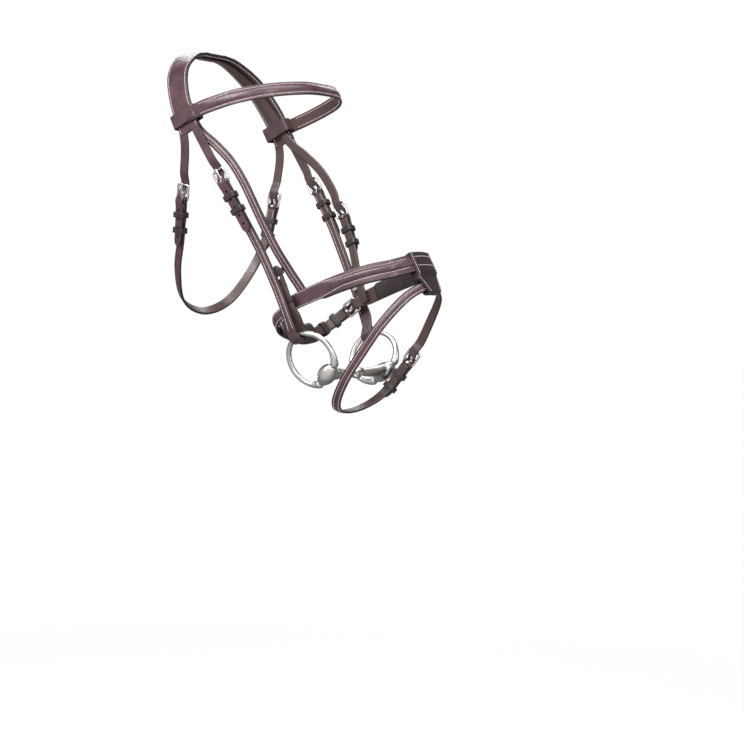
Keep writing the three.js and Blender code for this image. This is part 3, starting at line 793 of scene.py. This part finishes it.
def sewn_thickness(bar, direction, plain=STRAP):
    """The thickness of a strap that is doubled back round a buckle's bar."""
    tail = EYE["tail"]
    stops = ((tail + 5, plain), (tail - 1, EYE["thickness"]), (0, EYE["thickness"]))
    return sorted((bar - direction * x, value) for x, value in stops)


def loop_shell(half, low, high, length, wall, crease=1.0):
    """A strip of leather bent into a closed loop; half, low and high are its inside."""
    corner = min(1.8, (high - low) / 3)
    y1, z0, z1 = half + wall / 2, low - wall / 2, high + wall / 2
    path = []
    for (y, z), (out_y, out_z), last in rounded_box((-y1, z0), (y1, z1), corner, 6):
        path.append((Vector((0, y, z)), Vector((0, out_y, out_z))))
        if last and abs(out_z) > abs(out_y):
            out = Vector((0, 0, round(out_z)))
            path += [(Vector((0, y * (1 - 2 * k / 6), z)), out) for k in range(1, 6)]
    face = Face(crease=crease)
    rings = []
    for place, out in path:
        corners, marks = section(
            place, out, Vector((1, 0, 0)), length / 2, wall, 14, lambda y: face.height(y, 0, length / 2)
        )
        rings.append(corners)
    return skin(rings, marks, closed=True)


def keeper(name, line, distance, body, width, low, high, shift=0.0, wall=KEEPER["wall"], room=KEEPER["room"]):
    """A leather loop round straps of a width, from the height low to high."""
    shell = loop_shell(width / 2 + room, low - room, high + room, KEEPER["length"], wall)
    shell = moved(shell, line.frame(distance) @ Matrix.Translation((0, shift, 0)))
    # Painted shade: the keeper is made in the darkened leather
    leather_piece(name, [shell], body=body, material=PAINTED_SHADE_LEATHER)


def leather_piece(node, shells, tools=(), sewn=(), body="root", material=LEATHER):
    """The leather of a CAD node: shells with tools cut out of them, and more shells sewn to them."""
    piece = mesh_object(node + "_leather", shells, material)
    if tools:
        pierced(piece, tools)
    if sewn:
        merged(piece.name, [piece, mesh_object("sewn", sewn, material)])
    placed(piece, body, "bridle_leather", node)


def sew(node, shells, body="root"):
    """A strap's thread as a piece of its own."""
    placed(mesh_object(node + "_thread", shells, THREAD), body, None)


# ---- Buckles ----
def wire_shell(stops, sides=16):
    """Round wire along a closed path in the xy plane; stops are (x, y, wire radius)."""
    rings = []
    for index, (x, y, wire) in enumerate(stops):
        xa, ya, _ = stops[index - 1]
        xb, yb, _ = stops[(index + 1) % len(stops)]
        normal = Vector((yb - ya, xa - xb, 0)).normalized()
        turns = circle(sides)
        rings.append([Vector((x, y, wire * sin)) + normal * (wire * cos) for cos, sin in turns])
    return skin(rings, closed=True)


def buckle_frame_shell(width):
    """A buckle's frame: fuller at its far bar, slimmer at its sides."""
    half = width / 2 + BUCKLE["spare"] / 2 + BUCKLE["wire"]
    reach = BUCKLE["reach"]
    path = [place for place, _, _ in rounded_box((0, -half), (reach, half), BUCKLE["corner"], 8)]
    stops = []
    for index, (x, y) in enumerate(path):
        xb, yb = path[(index + 1) % len(path)]
        parts = 6 if math.hypot(xb - x, yb - y) > 3 else 1
        for part in range(parts):
            share = part / parts
            place = (x + (xb - x) * share, y + (yb - y) * share)
            slim = 0.16 * math.sin(math.pi * min(max(place[0] / reach, 0), 1)) ** 2
            stops.append((*place, BUCKLE["wire"] - slim))
    return wire_shell(stops)


def tongue_shells():
    """A buckle's tongue: its eye round the bar and its pin, resting over the far bar."""
    half = TONGUE["eye_width"] / 2
    eye = collar(TONGUE["eye_inner"], TONGUE["eye_outer"], -half, half, 0.35, 0.35)
    reach, height, wire = BUCKLE["reach"], TONGUE["height"], TONGUE["wire"]
    route = [
        (0.6, 2.25, 0.5), (1.4, 2.5, 0.85), (3, height - 0.1, wire), (9, height, wire),
        (15, height, wire - 0.05), (reach, height, wire - 0.12), (reach + 1.1, height - 0.06, 0.82),
        (reach + 1.7, height - 0.16, 0.6), (reach + 2, height - 0.22, 0.25),
    ]
    turns = circle(14)
    rings = [[Vector((x, 1.1 * size * cos, z + size * sin)) for cos, sin in turns] for x, z, size in route]
    return [eye, skin(rings)]


def buckle(prefix, line, bar, direction, width, body="root"):
    """The frame, tongue, fixed keeper and runner of one buckle."""
    place = line.frame(bar, direction)
    for part, shells, rides in (
        ("frame", [buckle_frame_shell(width)], body),
        ("tongue", tongue_shells(), prefix + "_tongue"),
    ):
        piece = mesh_object(f"{prefix}_{part}_steel", [moved(shell, place) for shell in shells], BUCKLE_STEEL)
        placed(piece, rides, "buckle_steel", f"{prefix}_buckle_{part}")
    high = OVER + BILLET / 2
    fixed, runner = (bar - direction * KEEPER[which] for which in ("fixed", "runner"))
    keeper(prefix + "_fixed_keeper", line, fixed, body, width, -EYE["thickness"] / 2, high)
    keeper(prefix + "_runner", line, runner, prefix + "_runner", width, -STRAP / 2, high)


# ---- Headpiece, browband and throatlash ----
def make_headpiece():
    """The crown and its four billets; direction is -1 where the buckle lies further along the line."""
    face = Face(margin=2.6)
    crown = Strap(poll_line, 0, poll_line.length, CROWN["width"], CROWN["thickness"], CROWN["lift"], face)
    pieces = [mesh_object("crown", [crown.shell()], LEATHER)]
    sew("headpiece", crown.stitches())
    far = throat_line.length
    billets = [(line, 0, CHEEK_BAR, -1, CHEEK_WIDTH - 0.5, CHEEK_TIP) for _, _, line in SIDES]
    billets.append((throat_line, 0, THROAT_BAR, -1, THROAT_WIDTH, THROAT_TIP))
    billets.append((throat_line, far, far - THROAT_BAR, 1, THROAT_WIDTH, THROAT_TIP))
    for line, root, bar, direction, width, tip in billets:
        ends = sorted((root, bar - direction * tip))
        points = (direction > 0, direction < 0)
        billet = Strap(line, *ends, width, BILLET, billet_lift(bar, direction), points=points)
        piece = mesh_object("billet", [billet.shell()], LEATHER)
        pieces.append(pierced(piece, billet_tools(line, bar, direction, tip)))
    placed(merged("headpiece_leather", pieces), "root", "bridle_leather", "headpiece")


def make_throatlash():
    """The throatlash with a buckle at each end."""
    far = throat_line.length - THROAT_BAR
    thickness = sewn_thickness(THROAT_BAR, -1) + sewn_thickness(far, 1)
    face = Face(margin=2.0, crease=1.0)
    strap = Strap(throat_line, THROAT_BAR + 3, far - 3, THROAT_WIDTH, thickness, face=face)
    bars = (("right", THROAT_BAR, -1), ("left", far, 1))
    eyes = [eye for _, bar, way in bars for eye in eye_shells(throat_line, bar, way, THROAT_WIDTH)]
    leather_piece("throatlash", [strap.shell()] + eyes)
    spans = [(THROAT_BAR + 5, THROAT_BAR + 27), (far - 27, far - 5)]  # short of the runners
    sew("throatlash", strap.stitches(spans))
    for name, bar, way in bars:
        buckle(name + "_throat", throat_line, bar, way, THROAT_WIDTH)


def make_browband():
    """The browband with the loop at each end that slides on the headpiece."""
    ends = [(0, 0.01), (26, 0.01), (52, 1.3)]
    rise = ends + [(brow_line.length - d, value) for d, value in ends[::-1]]
    face = Face(core=5.2, rise=rise, crease=1.4)
    band = Strap(brow_line, 0, brow_line.length, BROWBAND_WIDTH, STRAP, face=face)
    shells = [band.shell()]
    inside = (BROW_LOOP["half"], BROW_LOOP["low"], BROW_LOOP["high"])
    left, front, up = BROW_LOOP["place"]
    for side in (-1, 1):
        loop = loop_shell(*inside, BROWBAND_WIDTH, BROW_LOOP["wall"], crease=1.4)
        shells.append(moved(loop, poll_line.frame(poll_line.near(side * left, front, up))))
    leather_piece("browband", shells, body="brow")
    sew("browband", band.stitches([(24, brow_line.length - 24)]), body="brow")


# ---- Cheekpieces ----
def fold_sections(line, forward, columns):
    """Cross-sections of the cheekpiece's fold round the ring and of the returned billet behind it."""
    end = line.length
    place, along, out, across = line.at(end)
    hub = place - out * FOLD["radius"]
    sections = []
    for share in (step / 16 for step in range(1, 16)):  # of the half turn round the ring
        turned = out * math.cos(math.pi * share) + along * math.sin(math.pi * share)
        aside = forward * FOLD["forward"] * min(1, 2 * share)
        spot = hub + turned * FOLD["radius"] + across * aside
        wider = (FOLD["width"] - FOLD["join"]) * math.sin(math.pi * share / 2)
        half = (FOLD["join"] + wider) / 2
        sections.append(section(spot, turned, across, half, FOLD["thickness"], columns))
    tip = end - RETURN["tip"]
    lift = [(end - 34, RETURN["lift"]), (end - 14, -9.5), (end, -FOLD["gap"])]
    shift = [
        (tip, RETURN["drift"]), (end - 44, 4.8), (end - 22, RETURN["bulge"]), (end - 8, 4.5),
        (end, FOLD["forward"]),
    ]
    width = [(end - 22, CHEEK_WIDTH), (end - 6, CHEEK_WIDTH + 3), (end, FOLD["width"])]
    face = Face(crease=1.0)
    for distance in section_places(tip, end)[::-1]:
        if end - distance < 1:
            continue
        place, _, out, across = line.at(distance)
        wide, deep = end_shape(distance - tip, CHEEK_WIDTH, True)
        half = eased(width, distance) / 2 * wide
        spot = place + out * eased(lift, distance) + across * (forward * eased(shift, distance))
        sections.append(
            section(spot, -out, across, half, BILLET * deep, columns, lambda y, h=half: face.height(y, 0, h))
        )
    return sections


def make_cheekpiece(name, sign, line):
    """A cheekpiece from its buckle down to the ring and back up, with its keepers and hook stud."""
    forward = -sign
    start, end = CHEEK_BAR + 3, line.length
    beyond = end + 20  # so that the strap isn't rounded off where it turns into the fold
    width = [(end - 24, CHEEK_WIDTH), (end, CHEEK_WIDTH + 2)]
    rise = [
        (CHEEK_BAR + 24, 0.01), (CHEEK_BAR + 50, 0.5), (CHEEK_BAR + 70, 1.1), (end - 26, 1.1),
        (end - 8, 0.01),
    ]
    core = [(CHEEK_BAR + 30, 3.1), (CHEEK_BAR + 60, 2.0), (end - 24, 2.0), (end - 8, 2.8)]
    face = Face(core=core, rise=rise, crease=1.1)
    strap = Strap(line, start, beyond, width, sewn_thickness(CHEEK_BAR, -1), face=face)
    columns = 28
    sections = [strap.ring(d, columns) for d in section_places(start, beyond) if d < end]
    sections += fold_sections(line, forward, columns)
    punch = moved(pin_shell(STUD["hole"], 3, 16), upright(forward * STUD["shift"], RETURN["lift"]))
    punches = [moved(punch, line.frame(end - STUD[hole])) for hole in ("at", "spare")]
    body = skin([corners for corners, _ in sections], sections[0][1])
    node = name + "_cheekpiece"
    leather_piece(node, [body], punches, eye_shells(line, CHEEK_BAR, -1, CHEEK_WIDTH))
    sew(node, strap.stitches([(CHEEK_BAR + 6, end - 9)]))
    buckle(name + "_cheek", line, CHEEK_BAR, -1, CHEEK_WIDTH)
    low, high = RETURN["lift"] - BILLET / 2, RETURN["lift"] + BILLET / 2
    for which, at, shift in BIT_KEEPERS:
        keeper(
            f"{name}_bit_keeper_{which}", line, end - at, "root", CHEEK_WIDTH + 1.4, low, high,
            shift=forward * shift, wall=1.1, room=0.3,
        )
    outline = [
        (0, -1.8), (3.9, -1.8), (4.35, -1.55), (4.4, -1.1), (3.9, -0.7), (2.4, -0.25),
        (1.8, 0.2), (1.8, 1.0), (1.6, 1.2), (0, 1.2),
    ]
    knob = moved(lathe(outline, 32), upright(forward * STUD["shift"], low - 1.5))
    stud = mesh_object(name + "_stud_steel", [moved(knob, line.frame(end - STUD["at"]))], BUCKLE_STEEL)
    placed(stud, "root", "buckle_steel", name + "_hook_stud")


# ---- Noseband ----
def make_headstrap():
    """The headstrap from the off side over the poll to its billet, and its near-side lower part."""
    bar, end, node = HANGER_BAR, hanger_line.length, "noseband_headstrap"
    lift = billet_lift(bar, -1)
    lift = [(0, BILLET / 2), (lift[0][0] - 60, BILLET / 2)] + lift
    shown = end / 2 - 60
    rise = [(10, 0.01), (26, 0.8), (shown - 30, 0.8), (shown, 0.01)]
    face = Face(core=[(0, 2.6), (14, 1.5)], rise=rise, crease=1.0)
    upper = Strap(hanger_line, 0, bar + HANGER_TIP, HANGER_WIDTH, BILLET, lift, face, (False, True))
    leather_piece(node, [upper.shell()], billet_tools(hanger_line, bar, -1, HANGER_TIP))
    sew(node, upper.stitches([(4, shown)]))
    buckle("headstrap", hanger_line, bar, -1, HANGER_WIDTH)

    node += "_cheek"
    rise = [(bar + 26, 0.01), (bar + 44, 0.8), (end - 26, 0.8), (end - 10, 0.01)]
    core = [(bar + 28, 2.9), (bar + 46, 1.5), (end - 14, 1.5), (end, 2.6)]
    face = Face(core=core, rise=rise, crease=1.0)
    lift = [(bar + 60, 0), (end, BILLET / 2)]
    lower = Strap(hanger_line, bar + 3, end, HANGER_WIDTH, sewn_thickness(bar, -1), lift, face)
    leather_piece(node, [lower.shell()] + eye_shells(hanger_line, bar, -1, HANGER_WIDTH))
    sew(node, lower.stitches([(bar + 6, end - 4)], both=False))


def make_nosepiece():
    """The raised nosepiece, which narrows into the chin strap's billet."""
    crossing, bar = CHEEK_CROSSING, CHIN_BAR
    width = [
        (-NOSE_END, 16), (-crossing, 19), (-70, NOSE_WIDTH), (70, NOSE_WIDTH), (crossing - 10, 19),
        (crossing + 8, CHIN_WIDTH), (bar + CHIN_TIP, CHIN_WIDTH),
    ]
    full, join = crossing - 26, crossing - 60
    core = [(-full, 8.6), (-join, 4.7), (join, 4.7), (full, 8.6)]
    rise = [
        (-full - 2, 0.01), (-join - 8, 1.2), (-join + 14, 1.9), (join - 14, 1.9), (join + 8, 1.2),
        (full + 2, 0.01),
    ]
    shift = [(-full, 0), (-join, 1.0), (join, 1.0), (full, 0)]
    face = Face(core=core, rise=rise, shift=shift, crease=1.5)
    lift = billet_lift(bar, -1)
    strap = Strap(nose_line, -NOSE_END, bar + CHIN_TIP, width, BILLET, lift, face, (False, True))
    leather_piece("nosepiece_strap", [strap.shell()], billet_tools(nose_line, bar, -1, CHIN_TIP))
    spans = [(-NOSE_END + 3, -27.5), (27.5, crossing + 4)]  # not under the flash loop
    sew("nosepiece_strap", strap.stitches(spans, both=False))


def cushion_shell(line, start, end, width, thickness, lift, pucker=13.0):
    """A stuffed pad: crowned across, pulled in a little at each stitch of its seam, closed at both ends."""
    rings = []
    for distance in section_places(start, end):
        place, _, out, across = line.at(distance)
        share = max(rounded(min(distance - start, end - distance), 7), math.sqrt(0.02))
        swell = 1 + 0.06 * math.cos(2 * math.pi * distance / pucker)
        half, deep = width / 2 * (0.6 + 0.4 * share), thickness / 2 * share * (0.92 + 0.08 * swell)
        ring = []
        for cos, sin in circle(40):
            y = half * math.copysign(abs(cos) ** 0.62, cos)
            z = deep * math.copysign(abs(sin) ** 0.8, sin) * (1 - 0.12 * abs(cos) ** 3)
            ring.append(place + across * y + out * (lift + z))
        rings.append(ring)
    return skin(rings)


def make_pads():
    """The padding behind the nosepiece and under the chin strap."""
    start = CHEEK_CROSSING - 26
    chin = (nose_line.near(31, 0, -373), nose_line.near(-50, 6, -369))
    for node, ends, width, thickness, lift in (
        ("nosepiece_padding", (-start, start), 21.0, 5.9, -BILLET / 2 - 3.8),
        ("chin_pad", chin, 27.0, 7.9, -STRAP / 2 - 4.4),
    ):
        shell = cushion_shell(nose_line, *ends, width, thickness, lift)
        piece = mesh_object(node + "_cushion", [shell], PAD_LEATHER)
        placed(piece, "root", "pad_leather", node)


def make_chin_strap():
    """The noseband's rear strap with the chin buckle."""
    bar, end = CHIN_BAR, nose_line.length - CHEEK_CROSSING - 4
    lift = [(end - 38, 0), (end - 28, -3.5), (end, -3.5)]
    face = Face(margin=2.0, crease=1.0)
    strap = Strap(nose_line, bar + 3, end, CHIN_WIDTH, sewn_thickness(bar, -1), lift, face)
    leather_piece("chin_strap", [strap.shell()] + eye_shells(nose_line, bar, -1, CHIN_WIDTH))
    sew("chin_strap", strap.stitches([(bar + 6, end - 3)], both=False))
    buckle("chin", nose_line, bar, -1, CHIN_WIDTH)


# ---- Flash loop and flash strap ----
TAB = {"half": 22.0, "lower": 13.0, "top": 13.5, "waist": -21.0, "bottom": -39.5, "front": 3.7, "back": -10.6}
TAB_STEP = {"start": -12.5, "end": -18.0, "front": 1.2, "back": -9.6}
TAB_ROWS = (6.8, -4.8)  # of stitches along the noseband
TAB_EDGE = {"inset": 0.9, "soft": 1.1, "reach": 1.4, "painted": 0.8}


def stepped(y, side):
    """The tab's front or back, proud over the noseband and lower over the flash strap."""
    share = smooth((TAB_STEP["start"] - y) / (TAB_STEP["start"] - TAB_STEP["end"]))
    return TAB[side] + (TAB_STEP[side] - TAB[side]) * share


def tab_bottom(distance):
    """The tab's lower edge: full drop in the middle, curving up to its shoulders."""
    share = smooth((TAB["half"] - abs(distance)) / (TAB["half"] - TAB["lower"]))
    return TAB["waist"] + (TAB["bottom"] - TAB["waist"]) * share


def tab_ring(distance):
    """The tab's cross-section, with soft edges and a groove under each row of stitches."""
    place, _, out, across = nose_line.at(distance)
    inset = TAB_EDGE["inset"] * (1 - rounded(TAB["half"] - abs(distance), 1.0))
    top, bottom = TAB["top"] - inset, tab_bottom(distance) + inset
    front, back = [], []
    count = 44
    for k in range(count + 1):
        y = top + (bottom - top) * k / count
        edge = min(top - y, y - bottom)
        soft = TAB_EDGE["soft"] * (1 - rounded(edge, TAB_EDGE["reach"])) + inset
        groove = 0.2 * sum(dent(y - row, 0.5) for row in TAB_ROWS)
        painted = edge < TAB_EDGE["painted"]
        front.append((y, stepped(y, "front") - soft - groove, EDGE if painted else FACE))
        back.append((y, stepped(y, "back") + soft, EDGE if painted else 0.4))
    outline = front + back[::-1]
    return [place + across * y + out * z for y, z, _ in outline], [mark for _, _, mark in outline]


def tunnel(reach, low, high, steps=40):
    """The hole along the noseband that a strap goes through, between two (y, z) corners."""
    rings = []
    for step in range(steps + 1):
        place, _, out, across = nose_line.at(-reach + 2 * reach * step / steps)
        rings.append([place + across * y + out * z for (y, z), _, _ in rounded_box(low, high, 1.0, 3)])
    return skin(rings)


def tab_spot(distance, y):
    """A place just under the tab's front, and the way out of it."""
    place, _, out, across = nose_line.at(distance)
    return place + across * y + out * (stepped(y, "front") - 0.1), out


def make_flash_loop():
    """The tab round the noseband, with a tunnel for the noseband and one for the flash strap."""
    rings = [tab_ring(distance) for distance in section_places(-TAB["half"], TAB["half"])]
    tab = skin([corners for corners, _ in rings], rings[0][1])
    half = NOSE_WIDTH / 2 + 0.6  # with its clearance
    tunnels = [
        tunnel(TAB["half"] + 4, (-half, -8.7), (half, 1.8)),
        tunnel(TAB["lower"] + 16, (-37.6, -7.7), (-22.4, -0.7)),
    ]
    # Painted shade: the tab is made in the darkened leather
    leather_piece("flash_loop", [tab], tunnels, material=PAINTED_SHADE_LEATHER)
    paths = []
    for side in (-1, 1):
        edge = [(side * (TAB["half"] - 2.6), y) for y in (11.6, 5, 0, -6, -13, -18)]
        edge += [(side * d, tab_bottom(d + 2.6) + 1.2) for d in (18.4, 17, 15.5, 14, 12.6, 11.4)]
        paths.append(edge + [(side * 10.4, -37)])
    paths += [[(-17, row), (17, row)] for row in TAB_ROWS]
    sew("flash_loop", [shell for path in paths for shell in path_stitches(path)])


def path_stitches(path):
    """Stitches along a path of (distance, y) on the tab's front."""
    spots = [tab_spot(*stop)[0] for stop in path]
    lengths = [(b - a).length for a, b in zip(spots, spots[1:])]
    total = sum(lengths)
    count = max(1, round(total / STITCH["pitch"]))

    def at(share):
        left = min(max(share, 0), 1) * total
        for index, length in enumerate(lengths):
            if left <= length or index == len(lengths) - 1:
                part = min(left / length, 1)
                (d0, y0), (d1, y1) = path[index], path[index + 1]
                return tab_spot(d0 + (d1 - d0) * part, y0 + (y1 - y0) * part)
            left -= length

    shells = []
    for index in range(count):
        share, step = (index + 0.5) / count, 0.5 / total
        before, here, after = at(share - step), at(share), at(share + step)
        shells.append(stitch_shell(here[0], (after[0] - before[0]).normalized(), here[1]))
    return shells


def make_flash_strap():
    """The flash strap from its buckle all the way round and through the buckle."""
    start, turn = FLASH_BAR + 3, FLASH_TURN
    core = [(start + 24, 3.2), (start + 44, 2.4)]
    rise = [(start + 26, 0.01), (start + 46, 0.7), (turn - 60, 0.7), (turn - 46, 0.01)]
    face = Face(core=core, rise=rise, crease=1.1)
    thickness, lift = sewn_thickness(FLASH_BAR, -1, BILLET), billet_lift(turn, -1)
    strap = Strap(
        flash_line, start, turn + FLASH_TIP, FLASH_WIDTH, thickness, lift, face, points=(False, True)
    )
    tools = billet_tools(flash_line, turn, -1, FLASH_TIP)
    eyes = eye_shells(flash_line, FLASH_BAR, -1, FLASH_WIDTH)
    leather_piece("flash_strap", [strap.shell()], tools, eyes, body="flash")
    sew("flash_strap", strap.stitches([(start + 3, turn - 44)], both=False), body="flash")
    buckle("flash", flash_line, FLASH_BAR, -1, FLASH_WIDTH, body="flash")


# ---- Bit ----
BUTT = math.radians(RING["butt"])
CHORD = RING["radius"] * math.cos(math.radians(RING["flat"]))


def ring_place(sign):
    """The ring's own frame, with x up its tilted plane and y to the front."""
    tilt = math.radians(RING["tilt"])
    up = Vector((sign * math.sin(tilt), 0, math.cos(tilt)))
    front = Vector((0, -1, 0))
    left, back, height = RING["place"]
    return basis(up, front, up.cross(front), Vector((sign * left, back, height)))


def ring_shell():
    """The ring's wire, thickening into its two shoulders, and the pin through the butt."""
    start, sweep, count = RING["butt"] + RING["flat"], 360 - 2 * RING["flat"], 96
    stops = []
    for stop in range(count + 1):
        angle = math.radians(start + sweep * stop / count)
        near_end = min(stop, count - stop) / 12
        wire = RING["wire"] + 1.7 * max(0, 1 - near_end) ** 1.6
        stops.append((RING["radius"] * math.cos(angle), RING["radius"] * math.sin(angle), wire))
    lug, pin = BARREL["half"] + 0.6, BARREL["pin"]
    shoulder = [(lug + 1.0, 4.9), (lug + 0.4, 4.5), (lug, 3.8), (lug - 0.05, pin), (5, pin)]
    for along, wire in [(-along, wire) for along, wire in shoulder] + shoulder[::-1]:
        x = CHORD * math.cos(BUTT) - along * math.sin(BUTT)
        y = CHORD * math.sin(BUTT) + along * math.cos(BUTT)
        stops.append((x, y, wire))
    return wire_shell(stops, sides=24)


def cast(piece, voxel=0.55, passes=6):
    """Overlapping shells melted into one casting with soft fillets."""
    remesh = piece.modifiers.new("cast", "REMESH")
    remesh.mode = "VOXEL"
    remesh.voxel_size = voxel * MM
    fillet = piece.modifiers.new("fillet", "SMOOTH")
    fillet.factor = 0.5
    fillet.iterations = passes
    baked(piece)
    return settled(piece, 60)


def mouthpiece_shells(reach, lean, eye_turn):
    """A half of the mouthpiece: its bar, its barrel round the ring's pin and its eye at the middle."""
    bar = [  # place along it, half width, half depth
        (0, 11, 6.4), (9, 10.4, 6.8), (16, 8, 6.8), (24, 6.8, 6.4), (40, 5.4, 5.4),
        (reach - 14, 4.4, 4.4), (reach - 8, 3.4, 3.4),
    ]
    widths, depths = [(x, y) for x, y, _ in bar], [(x, z) for x, _, z in bar]
    slope, last, steps = math.tan(lean), bar[-1][0], 60
    rings = []
    for x in (last * step / steps for step in range(steps + 1)):
        half_y, half_z = eased(widths, x, 3), eased(depths, x, 3)
        rings.append([Vector((x, x * slope + half_y * cos, half_z * sin)) for cos, sin in circle(28)])
    half = BARREL["half"]
    profile = [(0, -half)]
    for share in (-1 + 2 * step / 24 for step in range(25)):
        swell = math.cos(math.pi * share / 2) ** 0.8
        profile.append((BARREL["end"] + (BARREL["middle"] - BARREL["end"]) * swell, share * half))
    profile.append((0, half))
    torus = [(LINK["radius"] * cos, LINK["radius"] * sin, LINK["wire"]) for cos, sin in circle(48)]
    eye_x = reach - LINK["radius"] / 2
    turn = Matrix.Rotation(lean, 4, "Z") @ Matrix.Rotation(eye_turn, 4, "X")
    eye = moved(wire_shell(torus, sides=20), Matrix.Translation((eye_x, eye_x * slope, 0)) @ turn)
    return [skin(rings), lathe(profile, 40), eye]


def make_bit():
    """Both rings, and the half of the mouthpiece that turns on each ring's pin."""
    for name, sign, _ in SIDES:
        place = ring_place(sign)
        wire = mesh_object(name + "_ring_steel", [moved(ring_shell(), place)], BIT_STEEL)
        placed(wire, name + "_ring", "bit_steel", name + "_bit_ring")
        hub = place @ Vector((CHORD * math.cos(BUTT), CHORD * math.sin(BUTT), 0))
        axis = (place.to_3x3() @ Vector((-math.sin(BUTT), math.cos(BUTT), 0))).normalized()
        inward = Vector((-sign, 0, 0))
        z = inward.cross(axis).normalized()
        lean = math.asin(inward.dot(axis))
        own = basis(axis.cross(z), axis, z, hub)
        shells = mouthpiece_shells(abs(hub.x) * math.cos(lean), lean, 0 if sign > 0 else math.pi / 2)
        piece = mesh_object(name + "_mouthpiece_steel", [moved(shell, own) for shell in shells], BIT_STEEL)
        cast(piece)
        pierced(piece, [moved(pin_shell(BARREL["bore"], 40, 28), own)])
        placed(piece, name + "_cannon", "bit_steel", name + "_mouthpiece")


# ---- Studio, in metres ----
VIEW = {"azimuth": -58.0, "elevation": 2.0, "distance": 2.213, "target": (-0.0319, -0.2666, -0.3904)}
LIGHTS = [  # name, degrees from the view's azimuth, elevation, distance, size, watts
    ("key", -50, 42, 1.9, (1.1, 0.8), 30),
    ("strip", 14, 30, 1.6, (0.25, 1.3), 7),
    ("top", 20, 75, 1.8, (1.4, 0.7), 18),
    ("fill", 62, 18, 2.4, (0.9, 1.4), 9),
    ("back", 180, 40, 2.2, (1.6, 0.8), 16),
]
FLOOR = {"height": -0.95, "reach": 40.0, "colour": (0.88, 0.88, 0.88)}
HORIZON = 1.0  # how bright the backdrop is
FADE = (0.3, 1.8)  # where the floor starts and ends turning into it
ROOM = {"near": 0.76, "far": 0.2}  # how bright the room's two sides are


def around(azimuth, elevation, distance, target=VIEW["target"]):
    """A place at a distance from the target, as seen from the view's azimuth and elevation."""
    a, e = math.radians(azimuth), math.radians(elevation)
    back = Vector((math.sin(a) * math.cos(e), -math.cos(a) * math.cos(e), math.sin(e)))
    return Vector(target) + back * distance


def aimed(name, data, place):
    """A lamp or camera at a place, looking at the view's target."""
    thing = bpy.data.objects.new(name, data)
    bpy.context.collection.objects.link(thing)
    thing.location = place
    thing.rotation_euler = (Vector(VIEW["target"]) - place).to_track_quat("-Z", "Y").to_euler()
    return thing


def make_floor():
    """A pale floor that fades into the backdrop, and that the steel doesn't mirror."""
    shader = Shader("studio_floor", Roughness=0.9, Specular_IOR_Level=0.1, Emission_Color=(1, 1, 1, 1))
    away = shader.measured("LENGTH", shader.place())
    shader.feed("Emission Strength", shader.spread(away, 0.0, HORIZON, *FADE))
    faded = shader.spread(away, 0.0, 1.0, *FADE)
    shader.feed("Base Color", shader.blended(faded, FLOOR["colour"], (0, 0, 0)))
    reach = FLOOR["reach"]
    corners = [(x * reach, y * reach, FLOOR["height"]) for x, y in ((-1, -1), (1, -1), (1, 1), (-1, 1))]
    mesh = bpy.data.meshes.new("floor")
    mesh.from_pydata(corners, [], [(0, 1, 2, 3)])
    mesh.materials.append(shader.material)
    floor = bpy.data.objects.new("floor", mesh)
    bpy.context.collection.objects.link(floor)
    floor.visible_glossy = False


def make_world():
    """A white backdrop; what lights the scene is bright on the near side and dim on the far side."""
    world = bpy.data.worlds.new("studio")
    world.use_nodes = True
    tree = Nodes(world.node_tree)
    bright_side = around(VIEW["azimuth"] - 18, 12, 1, (0, 0, 0))
    facing = tree.measured("DOT_PRODUCT", tree.place("Generated"), bright_side)
    seen = tree.add("Mix")
    tree.links.new(tree.add("LightPath").outputs["Is Camera Ray"], seen.inputs[0])
    tree.links.new(tree.spread(facing, ROOM["far"], ROOM["near"], -0.2, 0.9), seen.inputs[2])
    seen.inputs[3].default_value = HORIZON
    background = tree.nodes["Background"].inputs
    background["Color"].default_value = (1, 1, 1, 1)
    tree.links.new(seen.outputs[0], background["Strength"])
    bpy.context.scene.world = world


def make_lights():
    for name, turn, elevation, distance, size, watts in LIGHTS:
        lamp = bpy.data.lights.new(name, "AREA")
        lamp.shape = "RECTANGLE"
        lamp.size, lamp.size_y = size
        lamp.energy = watts
        aimed(name, lamp, around(VIEW["azimuth"] + turn, elevation, distance))


def make_camera():
    lens = bpy.data.cameras.new("camera")
    lens.lens = 90
    lens.sensor_width = 36
    place = around(VIEW["azimuth"], VIEW["elevation"], VIEW["distance"])
    bpy.context.scene.camera = aimed("camera", lens, place)


make_headpiece()
make_throatlash()
make_browband()
for side_name, side_sign, cheek_line in SIDES:
    make_cheekpiece(side_name, side_sign, cheek_line)
make_headstrap()
make_nosepiece()
make_pads()
make_chin_strap()
make_flash_loop()
make_flash_strap()
make_bit()
make_floor()
make_world()
make_lights()
make_camera()
bpy.context.scene.view_settings.view_transform = "Standard"
